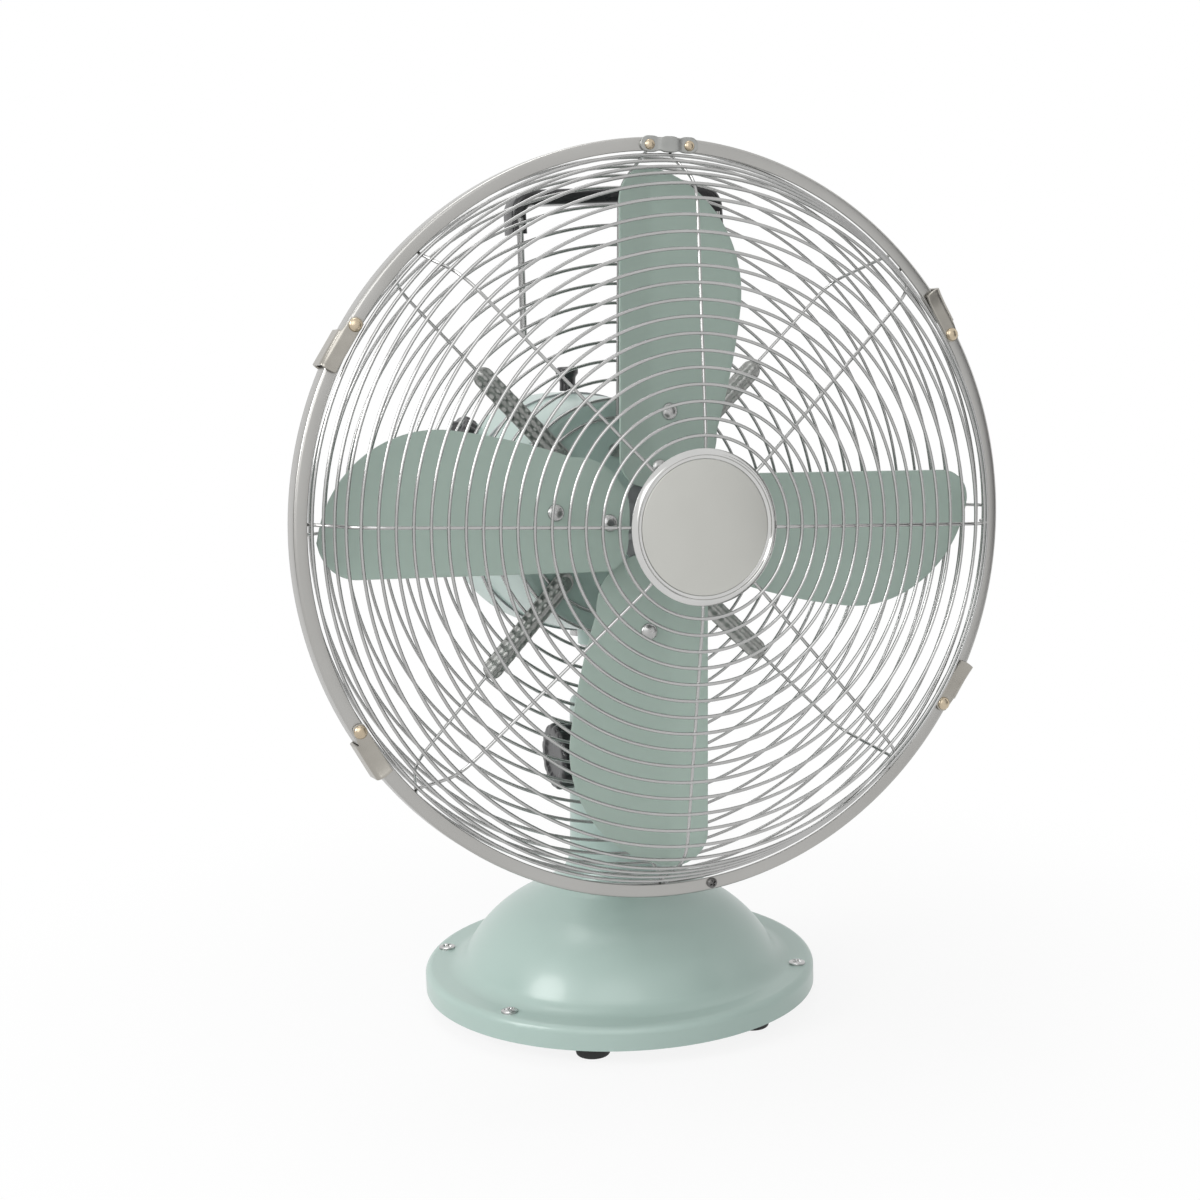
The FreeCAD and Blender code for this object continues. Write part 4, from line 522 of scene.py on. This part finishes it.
def makeClip(index):
    # a sheet folded over the band: across its face, round its edge and behind it, with the free end lifted
    c = clip
    face = -(c["gap"] + c["sheet"] / 2)
    section = roundedPath([(-c["eye"] + c["eyeShort"], face, 0), (c["out"], face, c["foldRound"]),
                           (c["out"], c["behind"], c["foldRound"]), (c["backEdge"], c["behind"], 0)], 5)
    length = np.concatenate([[0], np.cumsum(np.linalg.norm(np.diff(section, axis=0), axis=1))])
    at = np.linspace(0, length[-1], c["columns"])
    z = np.interp(at, length, section[:, 0])[None, :]
    y = np.interp(at, length, section[:, 1])[None, :]
    eye = np.sqrt(np.clip(c["eye"] ** 2 - z**2, 0, None))
    onFace = at[None, :] < c["eye"] * 2 - 0.7
    begin = np.where(onFace, -eye, c["eye"] + c["neck"])
    end = c["length"] - c["tipShort"] - c["tipRound"] * (z - 1) ** 2
    t = np.linspace(0, 1, c["rows"])[:, None]
    x = begin + (end - begin) * t
    rise = np.clip((x / c["length"] - c["liftFrom"]) / (1 - c["liftFrom"]), 0, 1) ** 2
    y = y - c["lift"] * rise * np.clip((4.0 - y) / 5, 0, 1)
    grid = np.stack([-x, y - band["front"], z + c["circle"] + 0 * x], -1)
    points = turnAboutShaft(grid.reshape(-1, 3), c["angles"][index])
    faces = gridFaces(c["rows"], c["columns"], False, False).tolist()
    piece = meshPiece(f"pressedClip{index + 1}", headToRow(points), faces, finish["clipNickel"],
                      f"clip_{index + 1}",
                      [f"clip_{index + 1}"])
    thicken(piece, c["sheet"])
    roundEdges(piece, c["edgeBevel"])


for clipIndex in range(4):
    makeClip(clipIndex)

rivet = {"radius": 3.0, "height": 1.5, "bracketAngles": (0.4, 6.9), "bracketRadius": 2.3,
         "bracketHeight": 1.1, "bracketSheet": 1.2, "gap": 0.25}


def domedHead(radius, height, sink=0.0, turns=24):
    # an open half section from rim to pole: a dome that points along -Y, closed by a flat back
    a = np.linspace(0, np.pi / 2, 6)
    dome = np.stack([radius * np.cos(a), -height * np.sin(a) - rivet["gap"]], -1)
    return lathe(np.concatenate([[[0, sink], [radius, sink]], dome]), turns)


def makeRivets():
    heads = []
    for angle in clip["angles"]:
        at = domedHead(rivet["radius"], rivet["height"])
        at = at + (0, -(band["front"] + clip["gap"] + clip["sheet"]), clip["circle"])
        heads.append(turnAboutShaft(at.reshape(-1, 3), angle).reshape(at.shape))
    for angle in rivet["bracketAngles"]:
        at = domedHead(rivet["bracketRadius"], rivet["bracketHeight"])
        at = at + (0, -(band["front"] + rivet["bracketSheet"]), clip["circle"])
        heads.append(turnAboutShaft(at.reshape(-1, 3), angle).reshape(at.shape))
    points, faces = joinGrids(heads, True, False)
    closePiece(meshPiece("bandRivetHeads", headToRow(points), faces, finish["wornBrass"], "fan_head",
                         ["band_rivets"]))


makeRivets()

bracket = {"half": 13.5, "height": 3.5, "waist": 0.8, "waistAt": 4.5, "waistWidth": 1.6, "sheet": 1.2,
           "step": 0.55, "stepAt": 4.6, "stepLength": 0.5, "middle": 3.65}


def makeBracket():
    # a plate with a round ear about each rivet and a raised middle: height across it follows the ears
    b = bracket
    t = np.linspace(-1, 1, 41)[:, None]
    x = b["half"] * np.sin(t * np.pi / 2)
    ear = b["half"] - b["height"]
    reach = np.sqrt(np.clip(b["height"] ** 2 - np.clip(np.abs(x) - ear, 0, None) ** 2, 0, None))
    reach = reach - b["waist"] * np.exp(-((np.abs(x) - b["waistAt"]) / b["waistWidth"]) ** 2)
    v = np.linspace(-1, 1, 11)[None, :]
    middle = 1 / (1 + np.exp((np.abs(x) - b["stepAt"]) / b["stepLength"]))
    y = -(band["front"] + b["sheet"] / 2) - b["step"] * middle + 0 * v
    grid = np.stack([x + 0 * v, y, reach * v + clip["circle"]], -1)
    points = turnAboutShaft(grid.reshape(-1, 3), b["middle"])
    faces = gridFaces(41, 11, False, False).tolist()
    piece = closePiece(meshPiece("bracketPlate", headToRow(points), faces, finish["strapSteel"],
                                 "fan_head", ["top_bracket"]))
    thicken(piece, b["sheet"])


makeBracket()
print("clips, rivets and bracket")

# screws with a cross slot

screw = {"turns": 32, "slotWidth": 0.16, "slotReach": 0.62, "slotDepth": 0.45, "steps": 11}


def screwHead(radius, height, turn=0.0):
    # a shallow dome along -Y: height * sqrt(1 - 0.75 r^2), less a cross-shaped slot, closed at the back
    s = screw
    r = np.concatenate([[0], np.linspace(0.12, 1, s["steps"])])[None, :]
    a = np.linspace(0, 2 * np.pi, s["turns"], endpoint=False)[:, None]
    x, z = r * np.sin(a + turn), r * np.cos(a + turn)
    dome = height * np.sqrt(1 - 0.75 * r**2)
    arm = np.minimum(np.abs(x), np.abs(z))
    inside = (arm < s["slotWidth"]) & (r < s["slotReach"])
    y = -(dome - inside * s["slotDepth"] * height) + 0 * a
    head = np.stack([radius * r * np.sin(a), y, radius * r * np.cos(a)], -1)
    back = np.concatenate([head[:, -1:] * (1, 0, 1), head[:, -1:] * (0, 0, 0)], 1)
    return np.concatenate([head, back], 1)


flangeScrew = {"radius": 3.9, "height": 1.7, "circle": 87.5, "angles": (57, -57, 123, -123), "top": 19.0}


def makeFlangeScrews():
    f = flangeScrew
    a = np.radians(f["angles"])
    heads = []
    for index, (sine, cosine) in enumerate(zip(np.sin(a), np.cos(a))):
        at = (f["circle"] * sine, columnY - f["circle"] * cosine, f["top"])
        heads.append(standAlong(screwHead(f["radius"], f["height"], 0.5 + index), at, (0, 0, -1)))
    points, faces = joinGrids(heads, True, False)
    closePiece(meshPiece("flangeScrewHeads", rowMm(points), faces, finish["zincSteel"], "base",
                         ["flange_screws"]))


bottomScrew = {"radius": 2.4, "height": 1.6, "slotTurn": 0.4, "angle": 175.8}


def makeBottomScrew():
    b = bottomScrew
    head = screwHead(b["radius"], b["height"], b["slotTurn"]) + (0, -band["front"], clip["circle"])
    head = turnAboutShaft(head.reshape(-1, 3), b["angle"]).reshape(head.shape)
    points, faces = joinGrids([head], True, False)
    closePiece(meshPiece("bottomScrewHead", headToRow(points), faces, finish["darkSteel"], "fan_head",
                         ["band_screw"]))


makeFlangeScrews()
makeBottomScrew()
print("screws")

# straps over the diagonal wires

strap = {"inner": 36, "outer": 98, "width": 9.5, "sheet": 1.0, "gap": 0.1, "crown": 1.9, "crownHalf": 1.7,
         "ribPitch": 4.2, "ribRise": 0.35, "rows": 90}


def makeStraps():
    # a strip with round ends, a crown along its middle and small ribs across, over the sloping rear wires:
    # rise = crown * exp(-(s / crownHalf)^2) + rib * cos^4
    p = strap
    r = np.linspace(p["inner"], p["outer"], p["rows"])[:, None]
    end = np.minimum(r - p["inner"], p["outer"] - r)
    rest = np.clip(1 - end / (p["width"] / 2), 0, 1)
    half = p["width"] / 2 * np.sqrt(np.clip(1 - rest**2, 0.02, None))
    s = np.linspace(-1, 1, 15)[None, :] * half
    along = r - rearCage["first"]
    wires = rearCage["firstDepth"] + along * math.tan(math.radians(rearCage["dish"]))
    depth = wires + cageWires["thickness"] / 2 + p["sheet"] / 2 + p["gap"]
    rise = p["crown"] * np.exp(-((s / p["crownHalf"]) ** 2)) * np.clip(end / 3, 0, 1)
    rib = p["ribRise"] * np.cos(np.pi * along / p["ribPitch"]) ** 4 * np.clip(end / 5, 0, 1)
    grid = np.stack([s, -(depth + rise + rib), r + 0 * s], -1)
    turns = rearCage["turn"] + 45 + 90 * np.arange(4)
    parts = [turnAboutShaft(grid.reshape(-1, 3), turn).reshape(grid.shape) for turn in turns]
    points, faces = joinGrids(parts, False, False)
    piece = meshPiece("ribbedStraps", headToRow(points), faces, finish["strapSteel"], "fan_head",
                      ["cage_straps"])
    thicken(piece, p["sheet"])


makeStraps()
print("straps")

# knobs

tiltKnob = {"edge": 2.6, "flutes": 16, "fluteDepth": 0.055, "faceRim": 5, "dishSlope": 1.5,
            "dishDepth": 1.0}


def makeTiltKnob():
    # fluted disc with a rounded face and a shallow dish, along -X from the column
    k = tiltKnob
    low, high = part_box("tilt_knob")
    radius, length = (high.z - low.z) * 500, (high.x - low.x) * 1000
    dish, rim = length - k["dishDepth"], radius - k["faceRim"]
    section = roundedPath([(0, 0, 0), (radius, 0, 1.2), (radius, length, k["edge"]), (rim, length, 1.0),
                           (rim - k["dishSlope"], dish, 1.0), (0, dish, 0)], 7)
    flutes = lathe(section, 192, k["flutes"], k["fluteDepth"])
    centre = (high.x * 1000, columnY, joints["tilt"]["pos_m"][2] * 1000)
    points, faces = joinGrids([standAlong(flutes, centre, (-1, 0, 0))], True, False)
    closePiece(meshPiece("flutedTiltKnob", rowMm(points), faces, finish["glossBlack"], "tilt_knob",
                         ["tilt_knob"]), 40)


speedKnob = {"radius": 15.5, "length": 10, "edge": 2.4, "flutes": 20, "fluteDepth": 0.05, "grip": 3.0,
             "gripHalf": 2.2, "gripEnd": 11.5}


def makeSpeedKnob():
    # fluted knob with a raised grip across its face: the face lifts by grip * exp(-(x / gripHalf)^4)
    k = speedKnob
    face = k["length"] - k["grip"]
    section = roundedPath([(0, 0, 0), (k["radius"], 0, 1.0), (k["radius"], face, k["edge"]),
                           (0, face, 0)], 7)
    section = np.concatenate([section[:-1], np.linspace(section[-2], section[-1], 9)[1:]])
    grid = lathe(section, 160, k["flutes"], k["fluteDepth"])
    onTop = grid[..., 1] > face - 0.05
    across = np.exp(-((grid[..., 0] / k["gripHalf"]) ** 4))
    across *= np.clip((k["gripEnd"] - np.abs(grid[..., 2])) / 2, 0, 1)
    grid[..., 1] += onTop * k["grip"] * across
    joint = joints["speed_turn"]
    place = standAlong(grid, np.array(joint["pos_m"]) * 1000, joint["axis"])
    points, faces = joinGrids([place], True, False)
    closePiece(meshPiece("speedDial", rowMm(points), faces, finish["glossBlack"], "speed_knob",
                         ["speed_knob"]), 40)


pullKnob = {"side": 10, "back": 60.5, "foot": 58.5}


def makePullKnob():
    # a turned knob on a waist, up from the top of the motor
    k = pullKnob
    section = roundedPath([(0, 0, 0), (4.3, 0, 0.6), (3.9, 3.5, 4), (4.2, 6.6, 3), (5.6, 8.4, 1.4),
                           (5.7, 10.6, 1.2), (4.4, 12.0, 1.5), (0, 12.0, 0)], 7)
    grid = standAlong(lathe(section, 64), (k["side"], k["back"], k["foot"]), (0, 0, 1))
    points, faces = joinGrids([grid], True, False)
    closePiece(meshPiece("pullButton", headToRow(points), faces, finish["glossBlack"], "pull_knob",
                         ["pull_knob"]), 45)


makeTiltKnob()
makeSpeedKnob()
makePullKnob()
print("knobs")

# handle

handle = {"shift": 6.5, "half": 52, "front": -32, "depth": 15, "top": 151, "leg": 131.5, "thickness": 7,
          "corner": 15, "round": 2.4}


def makeHandle():
    # a rounded bar section swept along the arch
    h = handle
    x, top = h["half"] - h["thickness"] / 2, h["top"] - h["thickness"] / 2
    path = roundedPath([(-x, h["leg"], 0), (-x, top, h["corner"]), (x, top, h["corner"]),
                        (x, h["leg"], 0)], 16)
    straight = np.stack([np.linspace(path[16, 0], path[17, 0], 14)[1:-1], np.full(12, top)], -1)
    path = np.concatenate([path[:17], straight, path[17:]])
    step = np.gradient(path, axis=0)
    step /= np.linalg.norm(step, axis=1, keepdims=True)
    a, b = h["depth"] / 2, h["thickness"] / 2
    section = roundedLoop([(-a, -b, h["round"]), (a, -b, h["round"]), (a, b, h["round"]),
                           (-a, b, h["round"])], 6)
    away, deep = section[None, :, 1], section[None, :, 0]
    px = path[:, :1] - step[:, 1:] * away + h["shift"]
    pz = path[:, 1:] + step[:, :1] * away
    grid = np.stack([px, h["front"] + a + deep + 0 * px, pz], -1)
    points, faces = joinGrids([grid], False, True, True)
    closePiece(meshPiece("archedHandle", headToRow(points), faces, finish["glossBlack"], "fan_head",
                         ["handle_grip"]), 50)


makeHandle()
print("handle")

# feet

foot = {"radius": 9, "height": 8, "taper": 0.85}


def makeFeet():
    low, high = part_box("rubber_feet")
    x, y = (high.x - low.x) * 500 - foot["radius"], (high.y - low.y) * 500 - foot["radius"]
    section = roundedPath([(0, 0, 0), (foot["radius"] * foot["taper"], 0, 1.2),
                           (foot["radius"], foot["height"], 0.3), (0, foot["height"], 0)], 6)
    spots = [(sx * x, columnY + sy * y, 0) for sx in (-1, 1) for sy in (-1, 1)]
    grids = [standAlong(lathe(section, 40), spot, (0, 0, 1)) for spot in spots]
    points, faces = joinGrids(grids, True, False)
    closePiece(meshPiece("roundedFeet", rowMm(points), faces, finish["mattRubber"], "base",
                         ["rubber_feet"]), 45)


makeFeet()
print("feet")

# rivets on the blades

bladeRivet = {"radius": 3.9, "height": 1.6, "spots": ((0, 24), (5, 49))}


def makeBladeRivets():
    # domed heads square to the blade beside the fold
    b = blade
    fall = (b["creaseRise"] + b["bulgeDrop"]) / (b["bulge"] + 1 - b["crease"])
    heads = []
    for x, z in bladeRivet["spots"]:
        depth = b["plane"] + b["creaseRise"] + b["thickness"] / 2 - fall * (x - b["crease"])
        head = domedHead(bladeRivet["radius"], bladeRivet["height"], 0.3)
        head = standAlong(head, (x, -depth, z), (-fall, 1, 0))
        turns = b["turn"] + 90 * np.arange(4)
        heads += [turnAboutShaft(head.reshape(-1, 3), turn).reshape(head.shape) for turn in turns]
    points, faces = joinGrids(heads, True, False)
    closePiece(meshPiece("bladeRivetHeads", headToRow(points), faces, finish["zincSteel"], "rotor",
                         ["blade_rivets"]))


makeBladeRivets()
print("blade rivets")

# camera, light and floor

cameraView = {"place": (-0.3756, -0.9532, 0.3930), "heading": 21.072, "pitch": -10.753, "roll": 1.621,
              "lens": 66.3}


def makeCamera():
    c = cameraView
    heading, pitch, roll = (math.radians(c[k]) for k in ("heading", "pitch", "roll"))
    forward = Vector((math.sin(heading) * math.cos(pitch), math.cos(heading) * math.cos(pitch),
                      math.sin(pitch)))
    right = forward.cross(Vector((0, 0, 1))).normalized()
    up = right.cross(forward)
    right, up = right * math.cos(roll) - up * math.sin(roll), up * math.cos(roll) + right * math.sin(roll)
    data = bpy.data.cameras.new("studioCamera")
    data.lens = c["lens"]
    data.sensor_width = 36
    data.clip_start = 0.01
    camera = bpy.data.objects.new("studioCamera", data)
    turn = Matrix((right, up, -forward)).transposed().to_4x4()
    camera.matrix_world = Matrix.Translation(Vector(c["place"])) @ turn
    bpy.context.scene.collection.objects.link(camera)
    bpy.context.scene.camera = camera


def makeLamp(name, place, target, width, power):
    data = bpy.data.lights.new(name, "AREA")
    data.shape = "DISK"
    data.size = width
    data.energy = power
    lamp = bpy.data.objects.new(name, data)
    direction = Vector(target) - Vector(place)
    turn = direction.to_track_quat("-Z", "Y").to_matrix().to_4x4()
    lamp.matrix_world = Matrix.Translation(Vector(place)) @ turn
    bpy.context.scene.collection.objects.link(lamp)


def seenRays(nodes, links):
    # 1 for camera, glossy and transmission rays
    path = nodes.new("ShaderNodeLightPath")
    first = nodes.new("ShaderNodeMath")
    first.operation = "MAXIMUM"
    second = nodes.new("ShaderNodeMath")
    second.operation = "MAXIMUM"
    links.new(path.outputs["Is Camera Ray"], first.inputs[0])
    links.new(path.outputs["Is Glossy Ray"], first.inputs[1])
    links.new(first.outputs[0], second.inputs[0])
    links.new(path.outputs["Is Transmission Ray"], second.inputs[1])
    return second.outputs[0]


def makeWorld(ambient):
    world = bpy.data.worlds.new("studio")
    bpy.context.scene.world = world
    world.use_nodes = True
    nodes, links = world.node_tree.nodes, world.node_tree.links
    background = nodes["Background"]
    background.inputs["Color"].default_value = (1, 1, 1, 1)
    links.new(spread(nodes, links, seenRays(nodes, links), ambient, 1.0), background.inputs["Strength"])


floorSettings = {"half": 3.0, "white": 0.86, "fadeFrom": 0.08, "fadeTo": 0.42}


def makeFloor():
    # a pale sheet that takes the shadow and fades to plain white away from the fan
    f = floorSettings
    mesh = bpy.data.meshes.new("floor")
    half = f["half"]
    corners = [(-half, -half, 0), (half, -half, 0), (half, half, 0), (-half, half, 0)]
    mesh.from_pydata(corners, [], [(0, 1, 2, 3)])
    floor = bpy.data.objects.new("floor", mesh)
    bpy.context.scene.collection.objects.link(floor)
    material, nodes, links, shader = newMaterial("paleFloor")
    shader.inputs["Base Color"].default_value = (f["white"], f["white"], f["white"], 1)
    shader.inputs["Roughness"].default_value = 0.9
    shader.inputs["Specular IOR Level"].default_value = 0.0
    glow = nodes.new("ShaderNodeEmission")
    glow.inputs["Strength"].default_value = 1.0
    place = nodes.new("ShaderNodeTexCoord")
    away = nodes.new("ShaderNodeVectorMath")
    away.operation = "LENGTH"
    links.new(place.outputs["Object"], away.inputs[0])
    fade = nodes.new("ShaderNodeMapRange")
    fade.interpolation_type = "SMOOTHSTEP"
    fade.inputs["From Min"].default_value = f["fadeFrom"]
    fade.inputs["From Max"].default_value = f["fadeTo"]
    fade.inputs["To Min"].default_value = f["white"]
    links.new(away.outputs["Value"], fade.inputs["Value"])
    share = nodes.new("ShaderNodeMath")
    share.operation = "MULTIPLY"
    links.new(fade.outputs["Result"], share.inputs[0])
    links.new(seenRays(nodes, links), share.inputs[1])
    add = nodes.new("ShaderNodeMixShader")
    links.new(share.outputs[0], add.inputs["Fac"])
    links.new(shader.outputs["BSDF"], add.inputs[1])
    links.new(glow.outputs["Emission"], add.inputs[2])
    links.new(add.outputs["Shader"], nodes["Material Output"].inputs["Surface"])
    mesh.materials.append(material)


def makeCard(name, place, width, height, target=(0, 0, 0.25)):
    # a dark sheet out of sight, for the metal to reflect
    direction = (Vector(target) - Vector(place)).to_track_quat("-Z", "Y").to_matrix()
    signs = ((-1, -1), (1, -1), (1, 1), (-1, 1))
    corners = [Vector(place) + direction @ Vector((x * width / 2, y * height / 2, 0)) for x, y in signs]
    mesh = bpy.data.meshes.new(name)
    mesh.from_pydata([tuple(c) for c in corners], [], [(0, 1, 2, 3)])
    card = bpy.data.objects.new(name, mesh)
    bpy.context.scene.collection.objects.link(card)
    material, nodes, links, shader = newMaterial(name)
    shader.inputs["Base Color"].default_value = (0.02, 0.02, 0.02, 1)
    shader.inputs["Roughness"].default_value = 0.9
    shader.inputs["Specular IOR Level"].default_value = 0.0
    mesh.materials.append(material)
    card.visible_camera = False
    card.visible_diffuse = False
    card.visible_shadow = False


studio = {
    "ambient": 0.45,
    "cards": {
        "rightCard": {"place": (0.95, -0.75, 0.45), "width": 0.5, "height": 1.1},
        "leftCard": {"place": (-1.15, 0.35, 0.30), "width": 0.35, "height": 0.9},
    },
    "lamps": {
        "keyLamp": {"place": (-1.75, -0.30, 1.15), "target": (0, 0, 0.15), "width": 0.9, "power": 18},
        "frontLamp": {"place": (-0.9, -1.9, 1.4), "target": (0, 0, 0.2), "width": 1.8, "power": 13},
        "fillLamp": {"place": (1.6, -1.0, 0.9), "target": (0, 0, 0.2), "width": 1.0, "power": 2},
        "topLamp": {"place": (-0.2, 0.4, 1.9), "target": (0, 0, 0.2), "width": 1.0, "power": 7},
    },
}
makeCamera()
makeWorld(studio["ambient"])
for cardName, settings in studio["cards"].items():
    makeCard(cardName, **settings)
for lampName, settings in studio["lamps"].items():
    makeLamp(lampName, **settings)
makeFloor()
bpy.context.scene.view_settings.view_transform = "Standard"
print("camera, light and floor")
